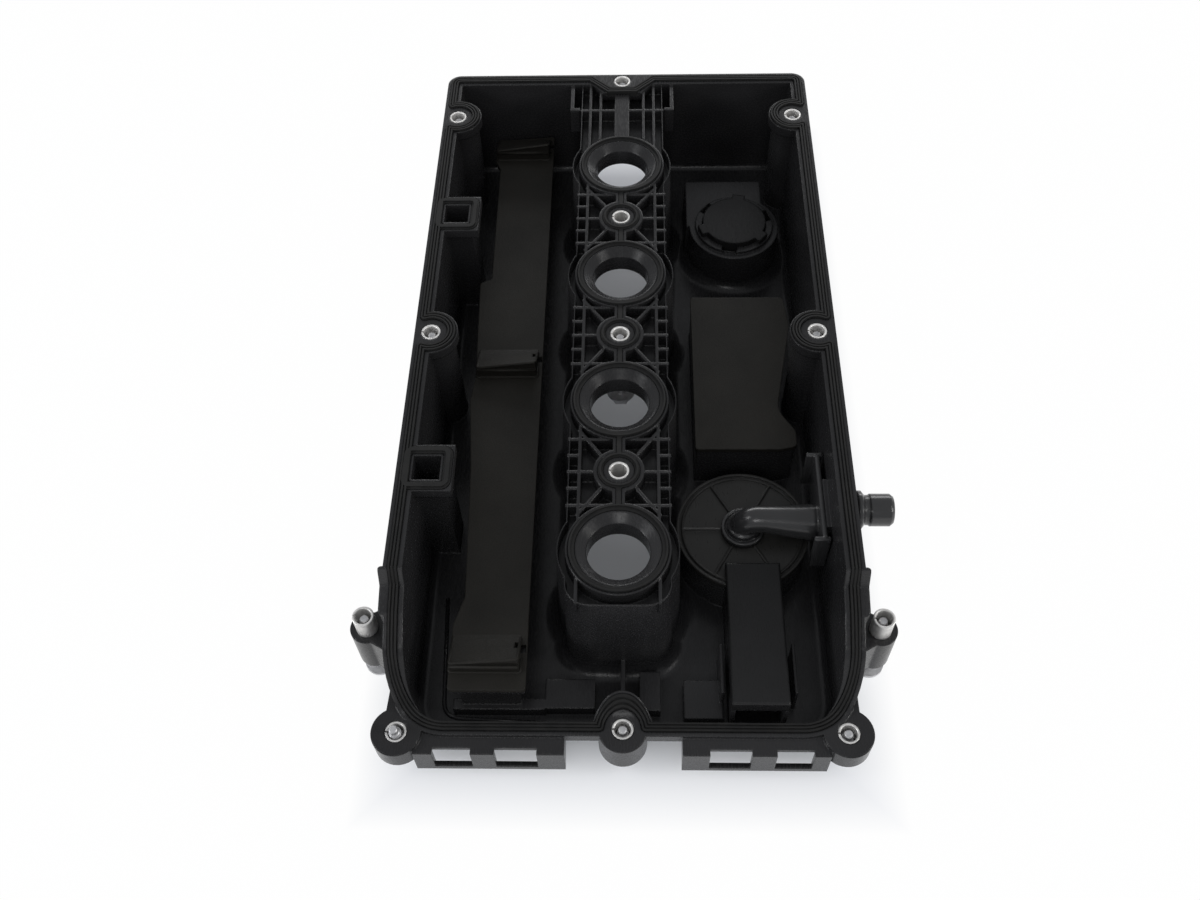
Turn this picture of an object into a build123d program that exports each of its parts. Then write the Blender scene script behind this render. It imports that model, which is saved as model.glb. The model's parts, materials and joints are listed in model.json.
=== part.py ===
"""Engine valve cover of a four-cylinder twin-cam petrol engine, lying on its outer face.

The cover is a one-piece moulding in glass-filled nylon. It carries a rubber perimeter
gasket, a rubber spark-plug-well gasket, steel compression sleeves with captive screws,
two oil-separator baffles, a crankcase breather with its pressure valve, a hose spigot
and the oil filler cap. The inside of the cover faces up (+Z).

Almost every sketch is drawn on DATUM: its origin is the axis of the plug well nearest
the timing end, on the gasket plane, with X across the engine and Y along the crankshaft.
"""

import os

from build123d import *

os.makedirs("parts", exist_ok=True)

# ---------------------------------------------------------------- overall sizes (mm)
GASKET_HEIGHT = 82.0  # gasket plane above the surface that the cover lies on
ROOF_DEPTH = 70.0  # gasket plane to the outer face of the general roof
WALL = 3.0
LEFT_EDGE = -108.3  # flange edges, from the plug-well line
RIGHT_EDGE = 112.7
FAR_EDGE = 339.5
FRONT_EDGE = -71.5
FAR_CORNER_RADIUS = 8.0
FRONT_CORNER_RADIUS = 27.0
MIN_CORNER_RADIUS = 1.5
WALL_DRAFT = 1.5  # degrees, the walls lean in towards the roof

# ---------------------------------------------------------------- cylinders and wells
BORE_PITCH = 86.0
WELL_COUNT = 4
WELL_RADIUS = 15.0
WELL_DISH_RADIUS = 19.6
WELL_COLLAR_RADIUS = 24.7
WELL_TUBE_DEPTH = 13.0

# ---------------------------------------------------------------- flange and its seal
FLANGE_WIDTH = 9.0
FLANGE_THICKNESS = 6.0
SEAL_INSET = 4.4  # flange edge to the middle of the gasket
SEAL_WIDTH = 4.2
SEAL_DEPTH = 2.4  # gasket below the flange face
SEAL_LIP_HEIGHT = 1.1  # gasket above the flange face
SEAL_GAP = 0.2
SEAL_LOOP_RADIUS = 11.0
FRONT_DROP = 50.0  # the timing-end flange lies this far below the main one

# ---------------------------------------------------------------- centre channel
RAIL_X = 26.3
RAIL_THICKNESS = 2.2
INNER_RAIL_X = 19.2
LOBE_RADIUS = 30.4
CHANNEL_FRONT_Y = -30.8
CHANNEL_CORNER_RADIUS = 13.0
PLATE_TOP_DEPTH = 9.0
RIB_TOP_DEPTH = 1.2
RIB_THICKNESS = 1.6
TEE_HALF_WIDTH = 31.5
TEE_START_Y = 307.5

# ---------------------------------------------------------------- screws and sleeves
SLEEVE_RADIUS = 5.2
SLEEVE_GAP = 0.05
SLEEVE_BORE_RADIUS = 3.9
SLEEVE_LENGTH = 24.0
SHORT_SLEEVE_LENGTH = 12.0
EAR_SLEEVE_LENGTH = 38.0
SLEEVE_LIP_RADIUS = 3.25
SLEEVE_LIP_HEIGHT = 1.5
SLEEVE_SLOT = 0.8
SLEEVE_CHAMFER = 0.35
SCREW_RADIUS = 2.9
SCREW_THREAD_RADIUS = 2.66  # mean radius of the M6 thread
SCREW_TIP_RADIUS = 2.1
SCREW_TIP_LENGTH = 3.0
SCREW_BEAD_RADIUS = 3.45
SCREW_FLANGE_RADIUS = 7.7
SCREW_FLANGE_THICKNESS = 1.6
SCREW_HEAD_FLATS = 10.0
SCREW_HEAD_HEIGHT = 5.0
BOSS_RADIUS = 8.6
SCREW_POCKET_RADIUS = 9.4

# ---------------------------------------------------------------- left separator
DOME_DEPTH = GASKET_HEIGHT
BAFFLE_TOP_DEPTH = 34.0
BAFFLE_THICKNESS = 2.5
SCOOP_RISE = 6.0
SCOOP_EXTRA_RISE = 5.0
SCOOP_LENGTH = 19.0

# ---------------------------------------------------------------- right side
RIGHT_BAFFLE_TOP_DEPTH = 36.0
VALVE_X = 62.3
VALVE_Y = 35.5
VALVE_COVER_RADIUS = 33.5
VALVE_COVER_TOP_DEPTH = 43.5
VALVE_COVER_THICKNESS = 2.4
VALVE_CAP_RADIUS = 31.0
FILLER_X = 68.0
FILLER_Y = 249.0
FILLER_RIM_RADIUS = 23.3
FILLER_RIM_DEPTH = 40.0
FILLER_BORE_RADIUS = 19.2
FILLER_CAP_RADIUS = 34.0
PIPE_RADIUS = 9.3
PIPE_DEPTH = 33.0
NOZZLE_Y = 39.5
NOZZLE_DEPTH = 30.6
NOZZLE_RADIUS = 8.2
NOZZLE_TIP_X = 136.0

# ---------------------------------------------------------------- datum
FAR_CENTRE_SCREW = (0, 333.4)
LEFT_EAR = (-120.0, -24.0)
RIGHT_EAR = (123.5, -24.0)
EAR_RADIUS = 8.3
LEFT_CORNER_SCREW = (-103.7, -70.0)
RIGHT_CORNER_SCREW = (106.5, -69.3)
CORNER_BOSS_RADIUS = 11.8
LEFT_REACH = EAR_RADIUS - LEFT_EAR[0]
FRONT_REACH = CORNER_BOSS_RADIUS - LEFT_CORNER_SCREW[1]
WELL_LINE_X = (LEFT_REACH - NOZZLE_TIP_X) / 2
FIRST_WELL_Y = (FRONT_REACH - FAR_CENTRE_SCREW[1] - SCREW_FLANGE_RADIUS) / 2
DATUM = Plane(origin=(WELL_LINE_X, FIRST_WELL_Y, GASKET_HEIGHT))

FLOOR_DEPTH = ROOF_DEPTH - WALL
LIP = FLANGE_WIDTH - WALL
FRONT_LIP = 3.0
WIDE = 200.0  # longer than half of any cut across the cover
WELLS = [(0, BORE_PITCH * index) for index in range(WELL_COUNT)]
CENTRE_SCREWS = [(0, BORE_PITCH * (index + 0.5)) for index in range(WELL_COUNT - 1)]

# The flange steps down at the timing end and then ramps to the front section.
STEP_Y = -11.0
RAMP_START = (-27.0, -13.0)
RAMP_KNEE = (-42.5, -21.5)
RAMP_END_Y = -61.0
SEAT_LINE = [
    (FAR_EDGE + 20, 0),
    (STEP_Y, 0),
    (STEP_Y - 4, -9.5),
    RAMP_START,
    RAMP_KNEE,
    (RAMP_END_Y, -FRONT_DROP),
    (FRONT_EDGE - 40, -FRONT_DROP),
]
SEAT_RADII = [1.0, 1.5, 4.0, 12.0, 9.0]

# Screws round the flange.
LEFT_SCREW_X = -99.7
RIGHT_SCREW_X = 103.0
MID_SCREW_Y = 130.5
FAR_SCREW_Y = 301.0
NEAR_CENTRE_SCREW = (2.0, -68.0)
EAR_SLEEVE_TOP = 23.0
EAR_TOP_DEPTH = 35.0
SIDE_SCREWS = [
    (LEFT_SCREW_X, MID_SCREW_Y),
    (RIGHT_SCREW_X, MID_SCREW_Y),
    (LEFT_SCREW_X, FAR_SCREW_Y),
    (RIGHT_SCREW_X, FAR_SCREW_Y),
]
PAD_RADIUS = SEAL_LOOP_RADIUS + SEAL_WIDTH / 2 + 1.2

# Rectangular ducts through the left flange, each inside its own gasket loop.
DUCT_X = -93.5
DUCT_WIDTH = 13.6
DUCT_LENGTH = 13.8
DUCT_YS = [44.5, 218.1]
DUCT_WALL = 2.4
DUCT_LOOP_WIDTH = DUCT_WIDTH + 7.0
DUCT_LOOP_LENGTH = DUCT_LENGTH + 7.0


def level(depth):
    """Plane parallel to the gasket plane, the given depth below it."""
    return DATUM.offset(-depth)


def side_plane(x):
    """Plane across X: its local axes are the engine's length and height."""
    return Plane(origin=DATUM.from_local_coords((x, 0, 0)), x_dir=(0, 1, 0), z_dir=(1, 0, 0))


def end_plane(y):
    """Plane across Y: its local axes are the engine's width and height."""
    return Plane(origin=DATUM.from_local_coords((0, y, 0)), x_dir=(1, 0, 0), z_dir=(0, -1, 0))


def rim_face(inset, front_inset):
    """Plan outline of the cover, moved in from the flange edges."""
    with BuildSketch() as rim:
        with BuildLine():
            Polyline(
                (LEFT_EDGE + inset, FRONT_EDGE + front_inset),
                (RIGHT_EDGE - inset, FRONT_EDGE + front_inset),
                (RIGHT_EDGE - inset, FAR_EDGE - inset),
                (LEFT_EDGE + inset, FAR_EDGE - inset),
                close=True,
            )
        make_face()
        if FAR_CORNER_RADIUS - inset > MIN_CORNER_RADIUS:
            fillet(rim.vertices().group_by(Axis.Y)[-1], FAR_CORNER_RADIUS - inset)
        fillet(rim.vertices().group_by(Axis.Y)[0], FRONT_CORNER_RADIUS - inset)
    return rim.sketch


def channel_face(inset):
    """Plan outline of the centre channel: a straight run with a lobe at each well."""
    with BuildSketch() as channel:
        with BuildLine():
            Polyline(
                (-RAIL_X, CHANNEL_FRONT_Y),
                (RAIL_X, CHANNEL_FRONT_Y),
                (RAIL_X, FAR_EDGE - LIP),
                (-RAIL_X, FAR_EDGE - LIP),
                close=True,
            )
        make_face()
        fillet(channel.vertices().group_by(Axis.Y)[0], CHANNEL_CORNER_RADIUS)
        with Locations(*WELLS):
            Circle(LOBE_RADIUS)
        if inset:
            offset(amount=-inset, kind=Kind.INTERSECTION, mode=Mode.REPLACE)
    return channel.sketch


def seat_face(rise, drop):
    """Side section between two copies of the seat line, for cuts and bands across X."""
    upper = [(y, z + rise) for y, z in SEAT_LINE]
    lower = [(y, z - drop) for y, z in SEAT_LINE]
    with BuildSketch() as seat:
        with BuildLine():
            FilletPolyline(*upper, radius=SEAT_RADII)
            FilletPolyline(*lower, radius=SEAT_RADII)
            Line(upper[0], lower[0])
            Line(upper[-1], lower[-1])
        make_face()
    return seat.sketch


def seal_face(grow):
    """Plan region bounded by the middle line of the gasket, grown by the given amount."""
    with BuildSketch() as region:
        add(rim_face(SEAL_INSET, SEAL_INSET))
        with Locations(*SIDE_SCREWS, NEAR_CENTRE_SCREW):
            Circle(SEAL_LOOP_RADIUS, mode=Mode.SUBTRACT)
        with BuildLine():
            Polyline(
                (-24, FAR_EDGE),
                (-8, FAR_CENTRE_SCREW[1] - 9),
                (8, FAR_CENTRE_SCREW[1] - 9),
                (24, FAR_EDGE),
                close=True,
            )
        make_face(mode=Mode.SUBTRACT)
        if grow:
            offset(amount=grow, kind=Kind.ARC, mode=Mode.REPLACE)
    return region.sketch


def bay_face(inset, front_inset):
    """Plan outline of the open bays: the rim outline less the centre channel."""
    with BuildSketch() as bay:
        add(rim_face(inset, front_inset))
        add(channel_face(0), mode=Mode.SUBTRACT)
    return bay.sketch


# ---------------------------------------------------------------- helper solids
# The flange: a band of the plan outline, cut to the stepped seat line.
with BuildPart() as flange_ring:
    with BuildSketch(DATUM):
        add(rim_face(0, 0))
        with BuildSketch(mode=Mode.SUBTRACT):
            add(rim_face(FLANGE_WIDTH, FLANGE_WIDTH - FRONT_LIP))
            with Locations(*SIDE_SCREWS, NEAR_CENTRE_SCREW):
                Circle(PAD_RADIUS, mode=Mode.SUBTRACT)
            with Locations(*[(DUCT_X - 2, y) for y in DUCT_YS]):
                Rectangle(DUCT_LOOP_WIDTH + 9.6, DUCT_LOOP_LENGTH + 6, mode=Mode.SUBTRACT)
            with Locations((0, FAR_EDGE - 8)):
                Trapezoid(52, 18, 52, rotation=180, mode=Mode.SUBTRACT)
    extrude(amount=-ROOF_DEPTH)
    with BuildSketch(side_plane(0)):
        add(seat_face(0, FLANGE_THICKNESS))
    extrude(amount=WIDE, both=True, mode=Mode.INTERSECT)

# Everything above the seat line outside the centre channel.
with BuildPart() as above_seat:
    with BuildSketch(side_plane(0)):
        add(seat_face(ROOF_DEPTH, 0))
    extrude(amount=WIDE, both=True)
    with BuildSketch(level(ROOF_DEPTH)):
        add(channel_face(0))
    extrude(amount=3 * ROOF_DEPTH, mode=Mode.SUBTRACT)

# The open inside of the cover, round the centre channel.
with BuildPart() as bay_void:
    with BuildSketch(level(FLOOR_DEPTH)):
        add(bay_face(FLANGE_WIDTH + 1.6, FLANGE_WIDTH - FRONT_LIP + 0.6))
    extrude(amount=FLOOR_DEPTH + 5, taper=-WALL_DRAFT)
    fillet(bay_void.edges().group_by(Axis.Z)[0], 4.0)

# ---------------------------------------------------------------- separator geometry
# The left separator: a raised chamber with its baffle welded on, stepped in plan.
LEFT_BAFFLE_OUTLINE = [
    (-42.8, -56.0),
    (-43.4, 322.0),
    (-79.6, 318.0),
    (-79.6, 299.0),
    (-76.4, 292.0),
    (-75.4, 199.0),
    (-82.0, 196.0),
    (-79.4, 126.0),
    (-81.2, 111.0),
    (-77.6, 68.0),
    (-74.4, -8.0),
    (-79.0, -23.0),
    (-79.0, -56.0),
]
SCOOP_LEFT_X = -78.4
SCOOP_RIGHT_X = -46.0
SCOOP_YS = [-47.0, 127.0, 300.5]  # foot of each scoop's open front

# The right separator lies between the filler and the pressure valve.
RIGHT_BAFFLE_OUTLINE = [
    (39.6, 80.0),
    (39.6, 186.0),
    (92.6, 186.0),
    (94.6, 164.0),
    (84.0, 106.0),
    (92.8, 92.0),
    (92.8, 82.0),
    (84.0, 80.0),
]
RIGHT_BAFFLE_RADII = [1.5, 1.5, 3.0, 30.0, 14.0, 6.0, 3.0, 6.0]
CHAMBER_WALL = 2.4
SEAT_STEP = 0.6  # baffle edge stands this far outside its chamber's weld flange
WELD_FLANGE_REACH = 3.6  # the left chamber's weld flange stands this far outside its wall
WELD_FLANGE_HEIGHT = 3.2


def left_baffle_face(inset):
    """Plan outline of the left baffle, moved in by the inset."""
    with BuildSketch() as outline:
        with BuildLine():
            Polyline(*LEFT_BAFFLE_OUTLINE, close=True)
        make_face()
        fillet(outline.vertices(), 1.5)
        if inset:
            offset(amount=-inset, kind=Kind.INTERSECTION, mode=Mode.REPLACE)
    return outline.sketch


def right_baffle_face(inset):
    """Plan outline of the right baffle, with its waved outer edge, moved in by the inset."""
    with BuildSketch() as outline:
        with BuildLine():
            FilletPolyline(*RIGHT_BAFFLE_OUTLINE, radius=RIGHT_BAFFLE_RADII, close=True)
        make_face()
        if inset:
            offset(amount=-inset, kind=Kind.INTERSECTION, mode=Mode.REPLACE)
    return outline.sketch


# Filler platform: a raised pad that runs into the round filler neck.
PLATFORM_DEPTH = 42.0
PLATFORM_FAR_Y = 289.0
PLATFORM_LEFT_X = 38.7
PLATFORM_RIGHT_X = 86.5
NECK_BASE_RADIUS = 27.5
FILLER_NOTCH_COUNT = 3
FILLER_NOTCH_SIZE = (7.2, 9.0)
RIM_THICKNESS = 3.0
NECK_BORE_RADIUS = 20.8

# Pressure valve under the round breather cover.
VALVE_WALL = 2.6
VALVE_PORT_RADIUS = 7.3
VALVE_POCKET_RADIUS = 27.0
VALVE_SEAT_DEPTH = 52.0

# Oil drain channel from the breather to the timing end.
DRAIN_LEFT_X = 52.4
DRAIN_RIGHT_X = 79.4
DRAIN_TOP_DEPTH = 38.4
DRAIN_FRONT_Y = -60.2
DRAIN_FAR_Y = 14.0
DRAIN_SKIRT = 8.0

# Fins beside the drain channel, raised pads and a web at the timing end.
DRAIN_FIN_Y = -38.0
DRAIN_FIN_LENGTH = 25.0
DRAIN_FIN_THICKNESS = 1.5
FRONT_PAD_DEPTH = 60.0
FRONT_PADS = [
    ((-57.5, -52.0), (44.0, 5.5)),
    ((-23.5, -46.5), (24.0, 15.0)),
    ((15.0, -45.0), (10.0, 20.0)),
    ((40.5, -49.0), (18.5, 19.5)),
]
FRONT_WEB_Y = -44.0
FRONT_WEB_LENGTH = 34.0
FRONT_WEB_THICKNESS = 2.0
FRONT_WEB_DEPTH = 56.0

# Plenum on the right wall, between the elbow pipe and the hose spigot.
PLENUM_X = 98.4
PLENUM_FRONT_Y = 23.5
PLENUM_FAR_Y = 51.0
PLENUM_TOP_DEPTH = 20.0
PLENUM_BOTTOM_DEPTH = 46.0
NOZZLE_BORE_RADIUS = 6.2

# Wiring brackets under the front flange.
BRACKET_SPANS = [(-95.5, -25.0), (29.8, 98.0)]
BRACKET_WINDOWS = [(-86.5, -68.6), (-57.5, -37.8), (42.4, 61.8), (73.2, 90.4)]
BRACKET_TOP_DEPTH = 52.0
BRACKET_BOTTOM_DEPTH = 71.0
BRACKET_WALL = 2.6
BRACKET_FRONT_Y = -80.0
BRACKET_SILL = 3.4


def screw_sites():
    """Every screw place: x, y, depth of the sleeve's top, sleeve length, screw or None.

    The last value is how far the screw's tip lies below the top of its sleeve.
    Two of the centre sleeves are empty.
    """
    sites = []
    for index, (x, y) in enumerate(CENTRE_SCREWS):
        sites.append((x, y, 0.0, SLEEVE_LENGTH, SCREW_TIP_INSET if index == 1 else None))
    sites.append((*FAR_CENTRE_SCREW, 0.0, SLEEVE_LENGTH, SCREW_TIP_INSET))
    for x, y in SIDE_SCREWS:
        sites.append((x, y, 0.0, SLEEVE_LENGTH, SCREW_TIP_INSET))
    for x, y in (LEFT_EAR, RIGHT_EAR):
        sites.append((x, y, EAR_SLEEVE_TOP, EAR_SLEEVE_LENGTH, SCREW_TIP_INSET))
    sites.append((*LEFT_CORNER_SCREW, FRONT_DROP, SHORT_SLEEVE_LENGTH, -PROUD_SCREW))
    sites.append((*RIGHT_CORNER_SCREW, FRONT_DROP, SHORT_SLEEVE_LENGTH, SHORT_TIP_INSET))
    sites.append((*NEAR_CENTRE_SCREW, FRONT_DROP, SHORT_SLEEVE_LENGTH, SHORT_TIP_INSET))
    return sites


SCREW_TIP_INSET = 2.6
SHORT_TIP_INSET = 0.8
PROUD_SCREW = 4.0
LONG_SHANK = 46.0
SHORT_SHANK = 20.0
SCREW_LEAN = 2.2  # degrees, the askew screw in the left corner

DISH_DEPTH = 3.4
CENTRE_PAD_RADIUS = 12.4
SPINE_WIDTH = 6.0
LEFT_WALL_TOP = BAFFLE_TOP_DEPTH + BAFFLE_THICKNESS
RIGHT_WALL_TOP = RIGHT_BAFFLE_TOP_DEPTH + BAFFLE_THICKNESS
PLATFORM_MIDDLE = ((PLATFORM_LEFT_X + PLATFORM_RIGHT_X) / 2, (FILLER_Y + PLATFORM_FAR_Y) / 2)
PLATFORM_SIZE = (PLATFORM_RIGHT_X - PLATFORM_LEFT_X, PLATFORM_FAR_Y - FILLER_Y)
PLENUM_Y = (PLENUM_FRONT_Y + PLENUM_FAR_Y) / 2
PLENUM_DEPTH = (PLENUM_TOP_DEPTH + PLENUM_BOTTOM_DEPTH) / 2
PLENUM_SIZE = (PLENUM_FAR_Y - PLENUM_FRONT_Y, PLENUM_BOTTOM_DEPTH - PLENUM_TOP_DEPTH)
STRIP_START_Y = WELLS[-1][1] + WELL_COLLAR_RADIUS - 2
STRIP_MIDDLE_Y = (STRIP_START_Y + FAR_EDGE) / 2
TEE_MIDDLE_Y = (TEE_START_Y + FAR_EDGE - LIP) / 2
TEE_LENGTH = FAR_EDGE - LIP - TEE_START_Y

# ---------------------------------------------------------------- cover body, in stages
# Channel hollow from outside, and the tray above the well plate.
with BuildPart() as channel_void:
    with BuildSketch(level(ROOF_DEPTH + 1)):
        add(channel_face(WALL))
        with Locations((0, FAR_EDGE - 20)):
            Rectangle(2 * (RAIL_X - WALL), 60)
    extrude(amount=ROOF_DEPTH + 1 - PLATE_TOP_DEPTH - WALL)
    with BuildSketch(level(PLATE_TOP_DEPTH)):
        add(channel_face(RAIL_THICKNESS))
    extrude(amount=PLATE_TOP_DEPTH + 1)
    with BuildSketch(level(RIB_TOP_DEPTH)):
        add(channel_face(-1))
    extrude(amount=RIB_TOP_DEPTH + 20)

# Ladder of ribs on the well plate, the far tee, the well collars and the screw bosses.
with BuildPart() as channel_top:
    with BuildSketch(level(PLATE_TOP_DEPTH + 0.5)):
        with Locations((-INNER_RAIL_X, BORE_PITCH), (INNER_RAIL_X, BORE_PITCH)):
            Rectangle(RIB_THICKNESS, 3 * FAR_EDGE)
        for _, screw_y in CENTRE_SCREWS:
            with Locations(*[(0, screw_y + step) for step in (-INNER_RAIL_X, 0, INNER_RAIL_X)]):
                Rectangle(2 * RAIL_X, RIB_THICKNESS)
            for side in (-1, 1):
                gusset_x = side * (RAIL_X + INNER_RAIL_X) / 2
                with Locations((gusset_x, screw_y - 9.5), (gusset_x, screw_y + 9.5)):
                    Rectangle(RAIL_X - INNER_RAIL_X, RIB_THICKNESS)
                for end in (-1, 1):
                    with BuildLine() as brace:
                        Line((side * 6, screw_y + end * 6), (side * 20, screw_y + end * 25))
                    trace(brace.line, line_width=RIB_THICKNESS)
        with Locations((0, STRIP_MIDDLE_Y)):
            Rectangle(8.8, FAR_EDGE - STRIP_START_Y)
        with Locations((-13, STRIP_MIDDLE_Y), (13, STRIP_MIDDLE_Y)):
            Rectangle(RIB_THICKNESS, FAR_EDGE - STRIP_START_Y)
        with Locations((0, TEE_START_Y)):
            Rectangle(2 * RAIL_X, RIB_THICKNESS)
        add(channel_face(1), mode=Mode.INTERSECT)
    extrude(amount=PLATE_TOP_DEPTH + 0.5 - RIB_TOP_DEPTH)
    with BuildSketch(level(FLANGE_THICKNESS + 12)):
        with Locations((0, TEE_MIDDLE_Y)):
            Rectangle(2 * TEE_HALF_WIDTH, TEE_LENGTH)
            inner_length = TEE_LENGTH - 2 * RAIL_THICKNESS
            Rectangle(2 * (TEE_HALF_WIDTH - RAIL_THICKNESS), inner_length, mode=Mode.SUBTRACT)
            Rectangle(2 * RAIL_X - 1, 2 * TEE_LENGTH, mode=Mode.SUBTRACT)
    extrude(amount=FLANGE_THICKNESS + 12 - RIB_TOP_DEPTH)
    with BuildSketch(level(WELL_TUBE_DEPTH)):
        with Locations(*WELLS):
            Circle(WELL_COLLAR_RADIUS)
    extrude(amount=WELL_TUBE_DEPTH)
    with BuildSketch(level(SLEEVE_LENGTH)):
        with Locations(*CENTRE_SCREWS, FAR_CENTRE_SCREW):
            Circle(BOSS_RADIUS)
        add(rim_face(0, 0), mode=Mode.INTERSECT)
    extrude(amount=SLEEVE_LENGTH)
    with BuildSketch(level(PLATE_TOP_DEPTH)):
        with Locations(*CENTRE_SCREWS):
            Circle(CENTRE_PAD_RADIUS)
        with Locations((0, WELLS[-1][1] / 2)):
            Rectangle(SPINE_WIDTH, WELLS[-1][1])
    extrude(amount=PLATE_TOP_DEPTH)
    with BuildSketch(level(ROOF_DEPTH)):
        with Locations(*WELLS):
            Circle(WELL_RADIUS)
    extrude(amount=ROOF_DEPTH + 1, mode=Mode.SUBTRACT)
    for well in WELLS:
        with BuildSketch(level(DISH_DEPTH)):
            with Locations(well):
                Circle(WELL_RADIUS)
        with BuildSketch(level(0)):
            with Locations(well):
                Circle(WELL_DISH_RADIUS)
        loft(mode=Mode.SUBTRACT)

# Bosses, ears, arms and brackets on the outer side of the walls.
with BuildPart() as outer_bosses:
    for edge_x, side in ((LEFT_EDGE, -1), (RIGHT_EDGE, 1)):
        with BuildSketch(level(26)):
            with Locations((edge_x - side * 1.5, (STEP_Y + RAMP_START[0]) / 2)):
                RectangleRounded(8, STEP_Y - RAMP_START[0] + 2, 2)
        extrude(amount=26)
    add(above_seat.part, mode=Mode.SUBTRACT)
    for ear_x, ear_y, side, edge_x in ((*LEFT_EAR, -1, LEFT_EDGE), (*RIGHT_EAR, 1, RIGHT_EDGE)):
        wall_x = edge_x - side * (LIP + 1)
        with BuildSketch(level(EAR_SLEEVE_TOP + EAR_SLEEVE_LENGTH)):
            with Locations((ear_x, ear_y)):
                Circle(EAR_RADIUS)
            with BuildLine():
                Polyline(
                    (wall_x, ear_y - 17),
                    (ear_x - side * 2, ear_y - EAR_RADIUS + 0.6),
                    (ear_x, ear_y),
                    (ear_x - side * 2, ear_y + EAR_RADIUS - 0.6),
                    (wall_x, ear_y + 17),
                    close=True,
                )
            make_face()
        extrude(amount=EAR_SLEEVE_TOP + EAR_SLEEVE_LENGTH - EAR_TOP_DEPTH)
    for boss_x, boss_y, side, edge_x in (
        (*LEFT_CORNER_SCREW, -1, LEFT_EDGE),
        (*RIGHT_CORNER_SCREW, 1, RIGHT_EDGE),
    ):
        with BuildSketch(level(FRONT_DROP + SHORT_SLEEVE_LENGTH)):
            with Locations((boss_x, boss_y)):
                Circle(CORNER_BOSS_RADIUS)
            with BuildLine():
                Polyline(
                    (boss_x - side * 2, boss_y + 6),
                    (boss_x + side * 6, boss_y + 4),
                    (edge_x - side * 1, boss_y + 44),
                    (boss_x - side * 4, boss_y + 44),
                    (boss_x - side * 30, boss_y + 6),
                    close=True,
                )
            make_face()
        extrude(amount=SHORT_SLEEVE_LENGTH)
    with BuildSketch(level(FRONT_DROP + SHORT_SLEEVE_LENGTH)):
        with Locations(NEAR_CENTRE_SCREW):
            Circle(BOSS_RADIUS + 2.0)
    extrude(amount=SHORT_SLEEVE_LENGTH)
    for start_x, end_x in BRACKET_SPANS:
        middle_x = (start_x + end_x) / 2
        with BuildSketch(level(BRACKET_TOP_DEPTH + BRACKET_WALL)):
            with Locations((middle_x, (BRACKET_FRONT_Y + FRONT_EDGE + 4) / 2)):
                Rectangle(end_x - start_x, FRONT_EDGE + 4 - BRACKET_FRONT_Y)
        extrude(amount=BRACKET_WALL)
        with BuildSketch(end_plane(BRACKET_FRONT_Y)):
            with Locations((middle_x, -(BRACKET_TOP_DEPTH + BRACKET_BOTTOM_DEPTH) / 2)):
                Rectangle(end_x - start_x, BRACKET_BOTTOM_DEPTH - BRACKET_TOP_DEPTH)
        extrude(amount=-BRACKET_WALL)
        for end_wall_x in (start_x, end_x - BRACKET_WALL):
            with BuildSketch(side_plane(end_wall_x)):
                with BuildLine():
                    Polyline(
                        (BRACKET_FRONT_Y, -BRACKET_TOP_DEPTH),
                        (FRONT_EDGE + 4, -BRACKET_TOP_DEPTH),
                        (FRONT_EDGE + 4, -BRACKET_TOP_DEPTH - 12),
                        (BRACKET_FRONT_Y, -BRACKET_BOTTOM_DEPTH),
                        close=True,
                    )
                make_face()
            extrude(amount=BRACKET_WALL)
    window_height = BRACKET_BOTTOM_DEPTH - BRACKET_SILL - BRACKET_TOP_DEPTH
    with BuildSketch(end_plane(BRACKET_FRONT_Y - 1)):
        for start_x, end_x in BRACKET_WINDOWS:
            with Locations(((start_x + end_x) / 2, -BRACKET_TOP_DEPTH - window_height / 2 + 1)):
                Rectangle(end_x - start_x, window_height + 2)
    extrude(amount=-4.2, mode=Mode.SUBTRACT)
    add(bay_void.part, mode=Mode.SUBTRACT)

# Hollow fillets where the channel walls and the filler neck meet the floor.
FOOT_RADIUS = 7.0
FOOT_BITE = 0.6  # each fillet reaches this far into the wall and the floor


def foot_profile(wall_x):
    """Hollow fillet section against a wall at the given distance, above the floor line."""
    with BuildSketch() as foot:
        with Locations((wall_x - FOOT_BITE, -FLOOR_DEPTH - FOOT_BITE)):
            Rectangle(FOOT_RADIUS + FOOT_BITE, FOOT_RADIUS + FOOT_BITE, align=(Align.MIN, Align.MIN))
        with Locations((wall_x + FOOT_RADIUS, FOOT_RADIUS - FLOOR_DEPTH)):
            Circle(FOOT_RADIUS, mode=Mode.SUBTRACT)
    return foot.sketch


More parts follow.
